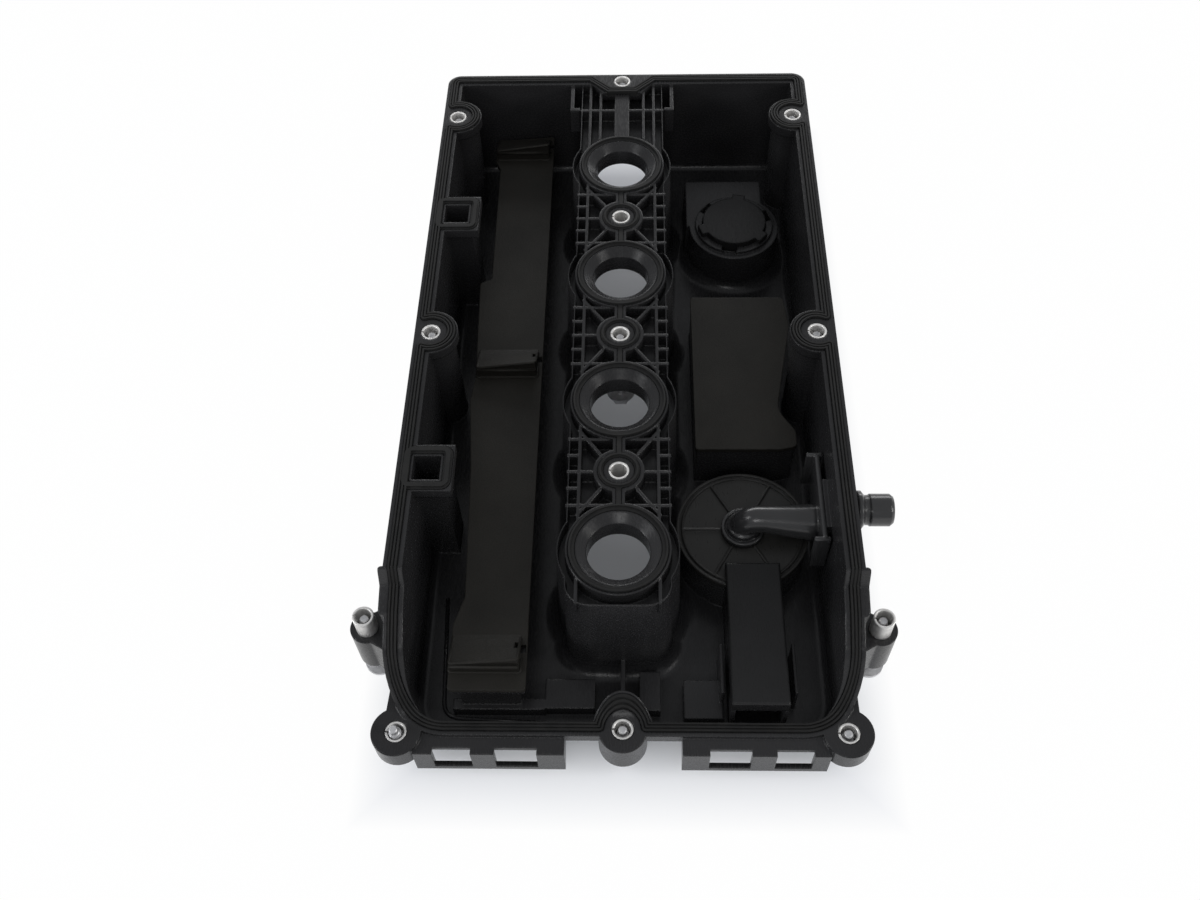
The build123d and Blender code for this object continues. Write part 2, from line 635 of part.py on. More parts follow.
CORNER_CENTRE_X = RAIL_X - CHANNEL_CORNER_RADIUS
CORNER_CENTRE_Y = CHANNEL_FRONT_Y + CHANNEL_CORNER_RADIUS
FOOT_TURNS = [(x, y, LOBE_RADIUS) for x, y in WELLS]
FOOT_TURNS += [(side * CORNER_CENTRE_X, CORNER_CENTRE_Y, CHANNEL_CORNER_RADIUS) for side in (-1, 1)]
FOOT_TURNS += [(FILLER_X, FILLER_Y, NECK_BASE_RADIUS - 0.5)]
with BuildPart() as feet:
    for x, y, wall_radius in FOOT_TURNS:
        turn_plane = Plane(origin=DATUM.from_local_coords((x, y, 0)), x_dir=(1, 0, 0), z_dir=(0, -1, 0))
        with BuildSketch(turn_plane):
            add(foot_profile(wall_radius))
        revolve(axis=Axis(turn_plane.origin, (0, 0, 1)))
    with BuildSketch(end_plane(CORNER_CENTRE_Y)):
        add(foot_profile(RAIL_X))
        add(mirror(foot_profile(RAIL_X), about=Plane.YZ))
    extrude(amount=CORNER_CENTRE_Y - FAR_EDGE + LIP)
    with BuildSketch(side_plane(0)):
        add(mirror(foot_profile(-CHANNEL_FRONT_Y), about=Plane.YZ))
    extrude(amount=CORNER_CENTRE_X, both=True)
    with BuildSketch(level(FLOOR_DEPTH + 1)):
        add(channel_face(WALL))
        with Locations((FILLER_X, FILLER_Y)):
            Circle(NECK_BORE_RADIUS)
    extrude(amount=FOOT_RADIUS + 2, mode=Mode.SUBTRACT)

# Walls and platforms that stand on the inner face of the roof.
with BuildPart() as inner_walls:
    add(feet.part)
    with BuildSketch(level(FLOOR_DEPTH + 1)):
        with Locations(NEAR_CENTRE_SCREW):
            Circle(BOSS_RADIUS + 3.0)
    extrude(amount=FLOOR_DEPTH + 1 - FRONT_DROP)
    with BuildSketch(level(FLOOR_DEPTH + 1)):
        with Locations(*SIDE_SCREWS):
            Circle(SCREW_POCKET_RADIUS + CHAMBER_WALL)
        with Locations(*[(DUCT_X, y) for y in DUCT_YS]):
            Rectangle(DUCT_WIDTH + 2 * DUCT_WALL, DUCT_LENGTH + 2 * DUCT_WALL)
        add(rim_face(LIP + 1, LIP), mode=Mode.INTERSECT)
    extrude(amount=FLOOR_DEPTH + 1)
    with BuildSketch(level(FLOOR_DEPTH + 1)):
        add(left_baffle_face(SEAT_STEP + WELD_FLANGE_REACH))
    extrude(amount=FLOOR_DEPTH + 1 - LEFT_WALL_TOP)
    with BuildSketch(level(LEFT_WALL_TOP + WELD_FLANGE_HEIGHT)):
        add(left_baffle_face(SEAT_STEP))
    extrude(amount=WELD_FLANGE_HEIGHT)
    with BuildSketch(level(FLOOR_DEPTH + 1)):
        add(right_baffle_face(SEAT_STEP))
    extrude(amount=FLOOR_DEPTH + 1 - RIGHT_WALL_TOP)
    with BuildSketch(level(FLOOR_DEPTH + 1)):
        with Locations(PLATFORM_MIDDLE):
            Rectangle(*PLATFORM_SIZE)
        with Locations((FILLER_X, FILLER_Y)):
            Circle(NECK_BASE_RADIUS)
    extrude(amount=FLOOR_DEPTH + 1 - PLATFORM_DEPTH, taper=1.5)
    with BuildSketch(level(PLATFORM_DEPTH)):
        with Locations((FILLER_X, FILLER_Y)):
            Circle(FILLER_RIM_RADIUS)
    extrude(amount=PLATFORM_DEPTH - FILLER_RIM_DEPTH)
    with BuildSketch(level(FLOOR_DEPTH + 1)):
        with Locations((VALVE_X, VALVE_Y)):
            Circle(VALVE_COVER_RADIUS - 0.4)
    extrude(amount=FLOOR_DEPTH + 1 - VALVE_COVER_TOP_DEPTH - VALVE_COVER_THICKNESS)
    with BuildSketch(level(FLOOR_DEPTH + 1)):
        drain_wall_length = VALVE_Y - VALVE_COVER_RADIUS - DRAIN_FRONT_Y + 2
        drain_wall_y = DRAIN_FRONT_Y + drain_wall_length / 2
        with Locations((DRAIN_LEFT_X + 1.2, drain_wall_y), (DRAIN_RIGHT_X - 1.2, drain_wall_y)):
            Rectangle(2.0, drain_wall_length)
    extrude(amount=FLOOR_DEPTH + 1 - DRAIN_TOP_DEPTH - DRAIN_SKIRT)
    with BuildSketch(side_plane(PLENUM_X + 2.5)):
        with Locations((PLENUM_Y, -PLENUM_DEPTH)):
            Rectangle(*PLENUM_SIZE)
    extrude(amount=5)
    with BuildSketch(level(FLOOR_DEPTH + 1)):
        for pad_middle, pad_size in FRONT_PADS:
            with Locations(pad_middle):
                Rectangle(*pad_size)
    extrude(amount=FLOOR_DEPTH + 1 - FRONT_PAD_DEPTH)
    with BuildSketch(level(FLOOR_DEPTH + 1)):
        with Locations((DRAIN_LEFT_X - 3.2, DRAIN_FIN_Y), (DRAIN_RIGHT_X + 4.4, DRAIN_FIN_Y)):
            Rectangle(DRAIN_FIN_THICKNESS, DRAIN_FIN_LENGTH)
    extrude(amount=FLOOR_DEPTH + 1 - DRAIN_TOP_DEPTH - DRAIN_SKIRT - 2)
    with BuildSketch(level(FLOOR_DEPTH + 1)):
        with Locations((NEAR_CENTRE_SCREW[0], FRONT_WEB_Y)):
            Rectangle(FRONT_WEB_THICKNESS, FRONT_WEB_LENGTH)
    extrude(amount=FLOOR_DEPTH + 1 - FRONT_WEB_DEPTH)

# Everything cut from the finished form: wells, pockets, chambers, bores, ducts and grooves.
with BuildPart() as cuts:
    with BuildSketch(level(ROOF_DEPTH)):
        with Locations(*WELLS):
            Circle(WELL_RADIUS)
    extrude(amount=ROOF_DEPTH - DISH_DEPTH)
    with BuildSketch(level(ROOF_DEPTH + 1)):
        with Locations(*SIDE_SCREWS):
            Circle(SCREW_POCKET_RADIUS)
    extrude(amount=ROOF_DEPTH + 1 - SLEEVE_LENGTH)
    with BuildSketch(level(ROOF_DEPTH + 1)):
        with Locations(*[(DUCT_X, y) for y in DUCT_YS]):
            Rectangle(DUCT_WIDTH, DUCT_LENGTH)
    extrude(amount=ROOF_DEPTH + 2)
    with BuildSketch(level(DOME_DEPTH - WALL)):
        add(left_baffle_face(SEAT_STEP + WELD_FLANGE_REACH + CHAMBER_WALL))
    extrude(amount=DOME_DEPTH - WALL - LEFT_WALL_TOP)
    with BuildSketch(level(FLOOR_DEPTH)):
        add(right_baffle_face(SEAT_STEP + CHAMBER_WALL))
    extrude(amount=FLOOR_DEPTH - RIGHT_WALL_TOP)
    with BuildSketch(level(ROOF_DEPTH + 1)):
        with Locations(PLATFORM_MIDDLE):
            Rectangle(PLATFORM_SIZE[0] - 2 * WALL - 2, PLATFORM_SIZE[1] - 2 * WALL - 1)
        with Locations((FILLER_X, FILLER_Y)):
            Circle(FILLER_RIM_RADIUS, mode=Mode.SUBTRACT)
    extrude(amount=ROOF_DEPTH + 1 - PLATFORM_DEPTH - WALL)
    with BuildSketch(level(ROOF_DEPTH + 1)):
        with Locations((FILLER_X, FILLER_Y)):
            Circle(NECK_BORE_RADIUS)
    extrude(amount=ROOF_DEPTH + 1 - FILLER_RIM_DEPTH - RIM_THICKNESS)
    with BuildSketch(level(ROOF_DEPTH)):
        with Locations((FILLER_X, FILLER_Y)):
            Circle(FILLER_BORE_RADIUS)
            with PolarLocations(FILLER_BORE_RADIUS, FILLER_NOTCH_COUNT, start_angle=20):
                Rectangle(*FILLER_NOTCH_SIZE)
    extrude(amount=ROOF_DEPTH)
    with BuildSketch(level(VALVE_SEAT_DEPTH)):
        with Locations((VALVE_X, VALVE_Y)):
            Circle(VALVE_COVER_RADIUS - 0.4 - VALVE_WALL)
    extrude(amount=VALVE_SEAT_DEPTH - VALVE_COVER_TOP_DEPTH)
    with BuildSketch(level(ROOF_DEPTH + 1)):
        with Locations((VALVE_X, VALVE_Y)):
            Circle(VALVE_POCKET_RADIUS)
    extrude(amount=ROOF_DEPTH + 1 - VALVE_SEAT_DEPTH - WALL)
    with BuildSketch(level(ROOF_DEPTH)):
        with Locations((VALVE_X, VALVE_Y)):
            Circle(VALVE_PORT_RADIUS)
    extrude(amount=20)
    with BuildSketch(side_plane(PLENUM_X)):
        with Locations((PLENUM_Y, -PLENUM_DEPTH)):
            Rectangle(PLENUM_SIZE[0] - 5, PLENUM_SIZE[1] - 5)
    extrude(amount=5.2)
    with BuildSketch(side_plane(PLENUM_X)):
        with Locations((NOZZLE_Y, -NOZZLE_DEPTH)):
            Circle(NOZZLE_RADIUS)
    extrude(amount=20)
    with BuildSketch(level(ROOF_DEPTH + 1)):
        with Locations(NEAR_CENTRE_SCREW):
            Circle(SCREW_POCKET_RADIUS)
    extrude(amount=ROOF_DEPTH + 1 - FRONT_DROP - SHORT_SLEEVE_LENGTH)
    # Sleeve bores.
    for x, y, top, length, _ in screw_sites():
        with BuildSketch(level(top + length + 1)):
            with Locations((x, y)):
                Circle(SLEEVE_RADIUS + SLEEVE_GAP)
        extrude(amount=length + 3)

# Gasket groove, following the seat line.
with BuildPart() as groove:
    with BuildSketch(DATUM.offset(5)):
        add(seal_face(SEAL_WIDTH / 2 + SEAL_GAP))
        add(seal_face(-SEAL_WIDTH / 2 - SEAL_GAP), mode=Mode.SUBTRACT)
        with Locations(*[(DUCT_X, y) for y in DUCT_YS]):
            RectangleRounded(
                DUCT_LOOP_WIDTH + SEAL_WIDTH + 2 * SEAL_GAP,
                DUCT_LOOP_LENGTH + SEAL_WIDTH + 2 * SEAL_GAP,
                5,
            )
            RectangleRounded(
                DUCT_LOOP_WIDTH - SEAL_WIDTH - 2 * SEAL_GAP,
                DUCT_LOOP_LENGTH - SEAL_WIDTH - 2 * SEAL_GAP,
                1.5,
                mode=Mode.SUBTRACT,
            )
    extrude(amount=-ROOF_DEPTH)
    with BuildSketch(side_plane(0)):
        add(seat_face(4, SEAL_DEPTH))
    extrude(amount=WIDE, both=True, mode=Mode.INTERSECT)

# Rings and strips of the plug-well gasket.
WELL_SEAL_RADIUS = 21.9
WELL_SEAL_WIDTH = 2.8
SCREW_SEAL_RADIUS = 9.0
STRIP_WIDTH = 2.4


def well_seal_face(gap):
    """Plan outline of the plug-well gasket, grown by the gap on every side."""
    half = WELL_SEAL_WIDTH / 2 + gap
    last_y = CENTRE_SCREWS[-1][1]
    with BuildSketch() as seal:
        with Locations((0, last_y / 2)):
            Rectangle(STRIP_WIDTH + 2 * gap, last_y)
        with Locations((0, last_y + BORE_PITCH / 4)):
            Rectangle(STRIP_WIDTH + 2 * gap, BORE_PITCH / 2)
        with Locations(*WELLS):
            Circle(WELL_SEAL_RADIUS + half)
            Circle(WELL_SEAL_RADIUS - half, mode=Mode.SUBTRACT)
        with Locations(*CENTRE_SCREWS):
            Circle(SCREW_SEAL_RADIUS + half - 0.2)
            Circle(SCREW_SEAL_RADIUS - half + 0.2, mode=Mode.SUBTRACT)
    return seal.sketch


with BuildPart() as well_groove:
    with BuildSketch(level(SEAL_DEPTH)):
        add(well_seal_face(SEAL_GAP))
    extrude(amount=SEAL_DEPTH + 2)

with BuildPart() as cover_body:
    with BuildSketch(level(ROOF_DEPTH)):
        add(rim_face(LIP + 1.8, FRONT_LIP + 1.0))
    extrude(amount=ROOF_DEPTH, taper=-WALL_DRAFT)
    fillet(cover_body.edges().group_by(Axis.Z)[0], 5.0)
    with BuildSketch(level(DOME_DEPTH)):
        add(left_baffle_face(-2.0))
    extrude(amount=DOME_DEPTH - FLOOR_DEPTH, taper=-8)
    add(above_seat.part, mode=Mode.SUBTRACT)
    add(bay_void.part, mode=Mode.SUBTRACT)
    add(channel_void.part, mode=Mode.SUBTRACT)
    add([flange_ring.part, outer_bosses.part])
    add([channel_top.part, inner_walls.part])
    add([cuts.part, groove.part, well_groove.part], mode=Mode.SUBTRACT)
cover_body.part.label = "cover_body"
export_step(cover_body.part, "parts/cover_body.step")

# ---------------------------------------------------------------- gaskets
LIP_WIDTH = 0.9
LIP_STEP = 1.6
CROWN = 0.2


def duct_loop_face(width_half):
    """Rounded rectangular gasket loops round both ducts, with the given half width."""
    with BuildSketch() as loops:
        with Locations(*[(DUCT_X, y) for y in DUCT_YS]):
            RectangleRounded(
                DUCT_LOOP_WIDTH + 2 * width_half, DUCT_LOOP_LENGTH + 2 * width_half, 3 + width_half
            )
            RectangleRounded(
                DUCT_LOOP_WIDTH - 2 * width_half,
                DUCT_LOOP_LENGTH - 2 * width_half,
                max(3 - width_half, 0.6),
                mode=Mode.SUBTRACT,
            )
    return loops.sketch


# Perimeter gasket: a flat band in the groove with three sealing lips.
with BuildPart() as gasket_lips:
    with BuildSketch(DATUM.offset(5)):
        for step in (-LIP_STEP, 0, LIP_STEP):
            with BuildSketch():
                add(seal_face(step + LIP_WIDTH / 2))
                add(seal_face(step - LIP_WIDTH / 2), mode=Mode.SUBTRACT)
    extrude(amount=-ROOF_DEPTH)
    with BuildSketch(side_plane(0)):
        add(seat_face(SEAL_LIP_HEIGHT, 1))
    extrude(amount=WIDE, both=True, mode=Mode.INTERSECT)
with BuildPart() as perimeter_gasket:
    with BuildSketch(DATUM.offset(5)):
        add(seal_face(SEAL_WIDTH / 2))
        add(seal_face(-SEAL_WIDTH / 2), mode=Mode.SUBTRACT)
        add(duct_loop_face(SEAL_WIDTH / 2))
    extrude(amount=-ROOF_DEPTH)
    with BuildSketch(side_plane(0)):
        add(seat_face(CROWN, SEAL_DEPTH))
    extrude(amount=WIDE, both=True, mode=Mode.INTERSECT)
    with BuildSketch(level(0.5)):
        add(duct_loop_face(LIP_WIDTH * 1.2))
    extrude(amount=SEAL_LIP_HEIGHT + 0.5)
    add(gasket_lips.part)
perimeter_gasket.part.label = "perimeter_gasket"
export_step(perimeter_gasket.part, "parts/perimeter_gasket.step")

# Plug-well gasket: a ring at each well and centre screw, joined by strips.
with BuildPart() as plug_well_gasket:
    with BuildSketch(level(SEAL_DEPTH)):
        add(well_seal_face(0))
    extrude(amount=SEAL_DEPTH + CROWN)
    with BuildSketch(DATUM):
        for ring_radius in (WELL_SEAL_RADIUS - 0.85, WELL_SEAL_RADIUS + 0.85):
            with Locations(*WELLS):
                Circle(ring_radius + LIP_WIDTH / 2)
                Circle(ring_radius - LIP_WIDTH / 2, mode=Mode.SUBTRACT)
    extrude(amount=SEAL_LIP_HEIGHT)
    with BuildSketch(DATUM):
        with Locations(*CENTRE_SCREWS):
            Circle(SCREW_SEAL_RADIUS + LIP_WIDTH / 2)
            Circle(SCREW_SEAL_RADIUS - LIP_WIDTH / 2, mode=Mode.SUBTRACT)
    extrude(amount=SEAL_LIP_HEIGHT)
plug_well_gasket.part.label = "plug_well_gasket"
export_step(plug_well_gasket.part, "parts/plug_well_gasket.step")

# ---------------------------------------------------------------- sleeves and screws
screw_number = 0
for sleeve_number, (x, y, top, length, tip_inset) in enumerate(screw_sites(), start=1):
    with BuildPart() as sleeve:
        with BuildSketch(level(top + length)):
            with Locations((x, y)):
                Circle(SLEEVE_RADIUS)
                Circle(SLEEVE_BORE_RADIUS, mode=Mode.SUBTRACT)
        extrude(amount=length)
        chamfer(sleeve.edges().group_by(Axis.Z)[-1], SLEEVE_CHAMFER)
        with BuildSketch(level(top + length)):
            with Locations((x, y)):
                Circle(SLEEVE_BORE_RADIUS)
                Circle(SLEEVE_LIP_RADIUS, mode=Mode.SUBTRACT)
        extrude(amount=SLEEVE_LIP_HEIGHT)
        with BuildSketch(level(top + length)):
            with Locations((x - SLEEVE_RADIUS, y)):
                Rectangle(2 * (SLEEVE_RADIUS - SLEEVE_LIP_RADIUS) + 1, SLEEVE_SLOT)
        extrude(amount=length, mode=Mode.SUBTRACT)
    sleeve.part.label = f"sleeve_{sleeve_number:02d}"
    export_step(sleeve.part, f"parts/sleeve_{sleeve_number:02d}.step")
    if tip_inset is None:
        continue
    screw_number += 1
    shank = SHORT_SHANK if length == SHORT_SLEEVE_LENGTH else LONG_SHANK
    lean = SCREW_LEAN if tip_inset < 0 else 0
    foot = Plane(origin=DATUM.from_local_coords((x, y, -top - length)))
    screw_axis_plane = foot.rotated((lean / 2, -lean, 0))
    tip_z = length - tip_inset
    bead_z = SLEEVE_LIP_HEIGHT + 0.1 - min(tip_inset, 0)
    flange_z = tip_z - shank
    profile_plane = Plane(
        origin=screw_axis_plane.origin, x_dir=screw_axis_plane.x_dir, z_dir=-screw_axis_plane.y_dir
    )
    with BuildPart() as screw:
        with BuildSketch(profile_plane):
            with BuildLine():
                Polyline(
                    (0, tip_z),
                    (SCREW_TIP_RADIUS - 0.5, tip_z),
                    (SCREW_TIP_RADIUS, tip_z - 0.5),
                    (SCREW_TIP_RADIUS, tip_z - SCREW_TIP_LENGTH),
                    (SCREW_THREAD_RADIUS, tip_z - SCREW_TIP_LENGTH - 0.6),
                    (SCREW_THREAD_RADIUS, bead_z + 2.6),
                    (SCREW_BEAD_RADIUS, bead_z + 1.9),
                    (SCREW_BEAD_RADIUS, bead_z + 0.2),
                    (SCREW_BEAD_RADIUS - 0.2, bead_z),
                    (SCREW_RADIUS, bead_z),
                    (SCREW_RADIUS, flange_z),
                    (SCREW_FLANGE_RADIUS, flange_z),
                    (SCREW_FLANGE_RADIUS, flange_z - SCREW_FLANGE_THICKNESS),
                    (0, flange_z - SCREW_FLANGE_THICKNESS),
                    close=True,
                )
            make_face()
        revolve(axis=Axis(screw_axis_plane.origin, screw_axis_plane.z_dir))
        head_top = flange_z - SCREW_FLANGE_THICKNESS
        with BuildSketch(screw_axis_plane.offset(head_top - SCREW_HEAD_HEIGHT)):
            RegularPolygon(SCREW_HEAD_FLATS / 2, 6, major_radius=False)
        extrude(amount=SCREW_HEAD_HEIGHT)
    screw.part.label = f"screw_{screw_number:02d}"
    export_step(screw.part, f"parts/screw_{screw_number:02d}.step")

# ---------------------------------------------------------------- separator baffles
LEDGE = 1.2
SCOOP_WALL = 1.8


def scoop_tool(foot_y, base_depth, inset):
    """Wedge of one scoop: level front step, then a hood that rises towards the centre."""
    front = foot_y + inset
    back = foot_y + SCOOP_LENGTH - inset
    rise = SCOOP_RISE - inset
    with BuildPart() as wedge:
        with BuildSketch(side_plane(SCOOP_LEFT_X + inset)):
            with BuildLine():
                Polyline((front, -base_depth), (front, rise - base_depth), (back, -base_depth), close=True)
            make_face()
        extrude(amount=SCOOP_RIGHT_X - SCOOP_LEFT_X - 2 * inset)
        hood_front = front + LEDGE
        for x, extra in ((SCOOP_LEFT_X + inset, 0.2), (SCOOP_RIGHT_X - inset, SCOOP_EXTRA_RISE)):
            with BuildSketch(side_plane(x)):
                with BuildLine():
                    Polyline(
                        (hood_front, -base_depth),
                        (hood_front, rise + extra - base_depth),
                        (back - 1, -base_depth),
                        close=True,
                    )
                make_face()
        loft()
    return wedge.part


with BuildPart() as left_baffle:
    with BuildSketch(level(LEFT_WALL_TOP)):
        add(left_baffle_face(0))
    extrude(amount=BAFFLE_THICKNESS)
    add([scoop_tool(y, BAFFLE_TOP_DEPTH, 0) for y in SCOOP_YS])
    add([scoop_tool(y, LEFT_WALL_TOP, SCOOP_WALL) for y in SCOOP_YS], mode=Mode.SUBTRACT)
    with BuildSketch(level(LEFT_WALL_TOP)):
        with Locations(*[(SCOOP_RIGHT_X, y + SCOOP_LENGTH * 0.62) for y in SCOOP_YS]):
            Rectangle(5.0, 4.0)
    extrude(amount=LEFT_WALL_TOP - BAFFLE_TOP_DEPTH + 2 * SCOOP_RISE, mode=Mode.SUBTRACT)
left_baffle.part.label = "left_baffle"
export_step(left_baffle.part, "parts/left_baffle.step")

with BuildPart() as right_baffle:
    with BuildSketch(level(RIGHT_WALL_TOP)):
        add(right_baffle_face(0))
    extrude(amount=BAFFLE_THICKNESS)
right_baffle.part.label = "right_baffle"
export_step(right_baffle.part, "parts/right_baffle.step")

# ---------------------------------------------------------------- breather
RIB_HEIGHT = 1.0
HUB_RADIUS = 10.9
with BuildPart() as breather_cover:
    with BuildSketch(level(VALVE_COVER_TOP_DEPTH + VALVE_COVER_THICKNESS)):
        with Locations((VALVE_X, VALVE_Y)):
            Circle(VALVE_COVER_RADIUS)
            Circle(VALVE_PORT_RADIUS, mode=Mode.SUBTRACT)
    extrude(amount=VALVE_COVER_THICKNESS)
    with BuildSketch(level(VALVE_COVER_TOP_DEPTH)):
        with Locations((VALVE_X, VALVE_Y)):
            Circle(VALVE_COVER_RADIUS)
            Circle(VALVE_COVER_RADIUS - 1.4, mode=Mode.SUBTRACT)
            Circle(VALVE_COVER_RADIUS - 2.6)
            Circle(VALVE_COVER_RADIUS - 3.6, mode=Mode.SUBTRACT)
            with PolarLocations((VALVE_COVER_RADIUS - 3 + HUB_RADIUS) / 2, 5, 60, 240, endpoint=True):
                Rectangle(VALVE_COVER_RADIUS - 3 - HUB_RADIUS, 1.2)
    extrude(amount=RIB_HEIGHT)
breather_cover.part.label = "breather_cover"
export_step(breather_cover.part, "parts/breather_cover.step")

PIPE_WALL = 2.0
FOOT_PLATE = 2.5
ELBOW_PLATE_YS = (17.0, 66.0)
with BuildPart() as breather_elbow:
    with BuildSketch(level(VALVE_COVER_TOP_DEPTH)):
        with Locations((VALVE_X, VALVE_Y)):
            Circle(HUB_RADIUS)
    extrude(amount=3.2)
    with BuildSketch(level(VALVE_COVER_TOP_DEPTH)):
        with Locations((VALVE_X, VALVE_Y)):
            Circle(PIPE_RADIUS)
    extrude(amount=VALVE_COVER_TOP_DEPTH - PIPE_DEPTH)
    with Locations(DATUM.from_local_coords((VALVE_X, VALVE_Y, -PIPE_DEPTH))):
        Sphere(PIPE_RADIUS)
    with BuildSketch(side_plane(VALVE_X)):
        with Locations((VALVE_Y, -PIPE_DEPTH)):
            Circle(PIPE_RADIUS)
    extrude(amount=PLENUM_X - VALVE_X)
    with BuildSketch(side_plane(PLENUM_X)):
        with Locations(((ELBOW_PLATE_YS[0] + ELBOW_PLATE_YS[1]) / 2, -PLENUM_DEPTH)):
            Rectangle(ELBOW_PLATE_YS[1] - ELBOW_PLATE_YS[0], PLENUM_SIZE[1])
    extrude(amount=FOOT_PLATE)
    with BuildSketch(side_plane(PLENUM_X - 4)):
        with Locations(*[(y, -PLENUM_DEPTH) for y in ELBOW_PLATE_YS]):
            Rectangle(2.4, PLENUM_SIZE[1])
    extrude(amount=8)
    with BuildSketch(side_plane(VALVE_X)):
        with Locations((VALVE_Y, -PIPE_DEPTH)):
            Circle(PIPE_RADIUS - PIPE_WALL)
    extrude(amount=PLENUM_X + FOOT_PLATE - VALVE_X, mode=Mode.SUBTRACT)
    with BuildSketch(level(VALVE_COVER_TOP_DEPTH)):
        with Locations((VALVE_X, VALVE_Y)):
            Circle(PIPE_RADIUS - PIPE_WALL)
    extrude(amount=VALVE_COVER_TOP_DEPTH - PIPE_DEPTH, mode=Mode.SUBTRACT)
breather_elbow.part.label = "breather_elbow"
export_step(breather_elbow.part, "parts/breather_elbow.step")

SPIGOT_START_X = 101.6
BEAD_X = 119.5
with BuildPart() as hose_nozzle:
    with BuildSketch(Plane(
        origin=DATUM.from_local_coords((0, NOZZLE_Y, -NOZZLE_DEPTH)), x_dir=(1, 0, 0), z_dir=(0, -1, 0)
    )):
        with BuildLine():
            Polyline(
                (SPIGOT_START_X, NOZZLE_BORE_RADIUS),
                (SPIGOT_START_X, NOZZLE_RADIUS - SLEEVE_GAP),
                (BEAD_X - 2.4, NOZZLE_RADIUS - SLEEVE_GAP),
                (BEAD_X - 1.2, NOZZLE_RADIUS + 1.6),
                (BEAD_X + 0.6, NOZZLE_RADIUS + 1.6),
                (BEAD_X + 2.4, NOZZLE_RADIUS - 0.6),
                (BEAD_X + 4.4, NOZZLE_RADIUS - 0.6),
                (BEAD_X + 5.0, NOZZLE_RADIUS),
                (NOZZLE_TIP_X - 1.6, NOZZLE_RADIUS),
                (NOZZLE_TIP_X, NOZZLE_RADIUS - 1.2),
                (NOZZLE_TIP_X, NOZZLE_BORE_RADIUS),
                close=True,
            )
        make_face()
    revolve(axis=Axis(DATUM.from_local_coords((0, NOZZLE_Y, -NOZZLE_DEPTH)), (1, 0, 0)))
hose_nozzle.part.label = "hose_nozzle"
export_step(hose_nozzle.part, "parts/hose_nozzle.step")

DRAIN_WALL = 2.2
with BuildPart() as drain_cover:
    drain_size = (DRAIN_RIGHT_X - DRAIN_LEFT_X, DRAIN_FAR_Y - DRAIN_FRONT_Y)
    drain_middle = ((DRAIN_LEFT_X + DRAIN_RIGHT_X) / 2, (DRAIN_FAR_Y + DRAIN_FRONT_Y) / 2)
    with BuildSketch(level(DRAIN_TOP_DEPTH + DRAIN_SKIRT)):
        with Locations(drain_middle):
            Rectangle(*drain_size)
    extrude(amount=DRAIN_SKIRT)
    fillet(drain_cover.edges().group_by(Axis.Z)[-1], 1.2)
    with BuildSketch(level(DRAIN_TOP_DEPTH + DRAIN_SKIRT)):
        with Locations(drain_middle):
            Rectangle(drain_size[0] - 2 * DRAIN_WALL, drain_size[1] - 2 * DRAIN_WALL)
    extrude(amount=DRAIN_SKIRT - DRAIN_WALL, mode=Mode.SUBTRACT)
    with BuildSketch(level(FLOOR_DEPTH)):
        with Locations((VALVE_X, VALVE_Y)):
            Circle(VALVE_COVER_RADIUS + 0.4)
    extrude(amount=FLOOR_DEPTH - VALVE_COVER_TOP_DEPTH + RIB_HEIGHT + 0.1, mode=Mode.SUBTRACT)
drain_cover.part.label = "drain_cover"
export_step(drain_cover.part, "parts/drain_cover.step")

# ---------------------------------------------------------------- pressure valve
VALVE_CAP_DEPTH = 77.5
SPRING_WIRE = 0.7
SPRING_RADIUS = 9.6
VALVE_PLATE_RADIUS = 11.6
VALVE_PLATE_DEPTH = 64.1
VALVE_PLATE_THICKNESS = 1.5
DIAPHRAGM_THICKNESS = 1.2
VALVE_AXIS = Axis(DATUM.from_local_coords((VALVE_X, VALVE_Y, 0)), (0, 0, 1))
VALVE_SECTION = Plane(
    origin=DATUM.from_local_coords((VALVE_X, VALVE_Y, 0)), x_dir=(1, 0, 0), z_dir=(0, -1, 0)
)
pocket_top = VALVE_SEAT_DEPTH + WALL
plate_foot = VALVE_PLATE_DEPTH + VALVE_PLATE_THICKNESS
diaphragm_foot = plate_foot + DIAPHRAGM_THICKNESS

with BuildPart() as pcv_cap:
    with BuildSketch(VALVE_SECTION):
        with BuildLine():
            Polyline(
                (0, -VALVE_CAP_DEPTH),
                (VALVE_CAP_RADIUS - 2, -VALVE_CAP_DEPTH),
                (VALVE_CAP_RADIUS, -VALVE_CAP_DEPTH + 2),
                (VALVE_CAP_RADIUS, -ROOF_DEPTH),
                (VALVE_POCKET_RADIUS - 3, -ROOF_DEPTH),
                (VALVE_POCKET_RADIUS - 3, -VALVE_CAP_DEPTH + 2.2),
                (4, -VALVE_CAP_DEPTH + 2.2),
                (4, -diaphragm_foot - 0.2),
                (0, -diaphragm_foot - 0.2),
                close=True,
            )
        make_face()
    revolve(axis=VALVE_AXIS)
pcv_cap.part.label = "pcv_cap"
export_step(pcv_cap.part, "parts/pcv_cap.step")

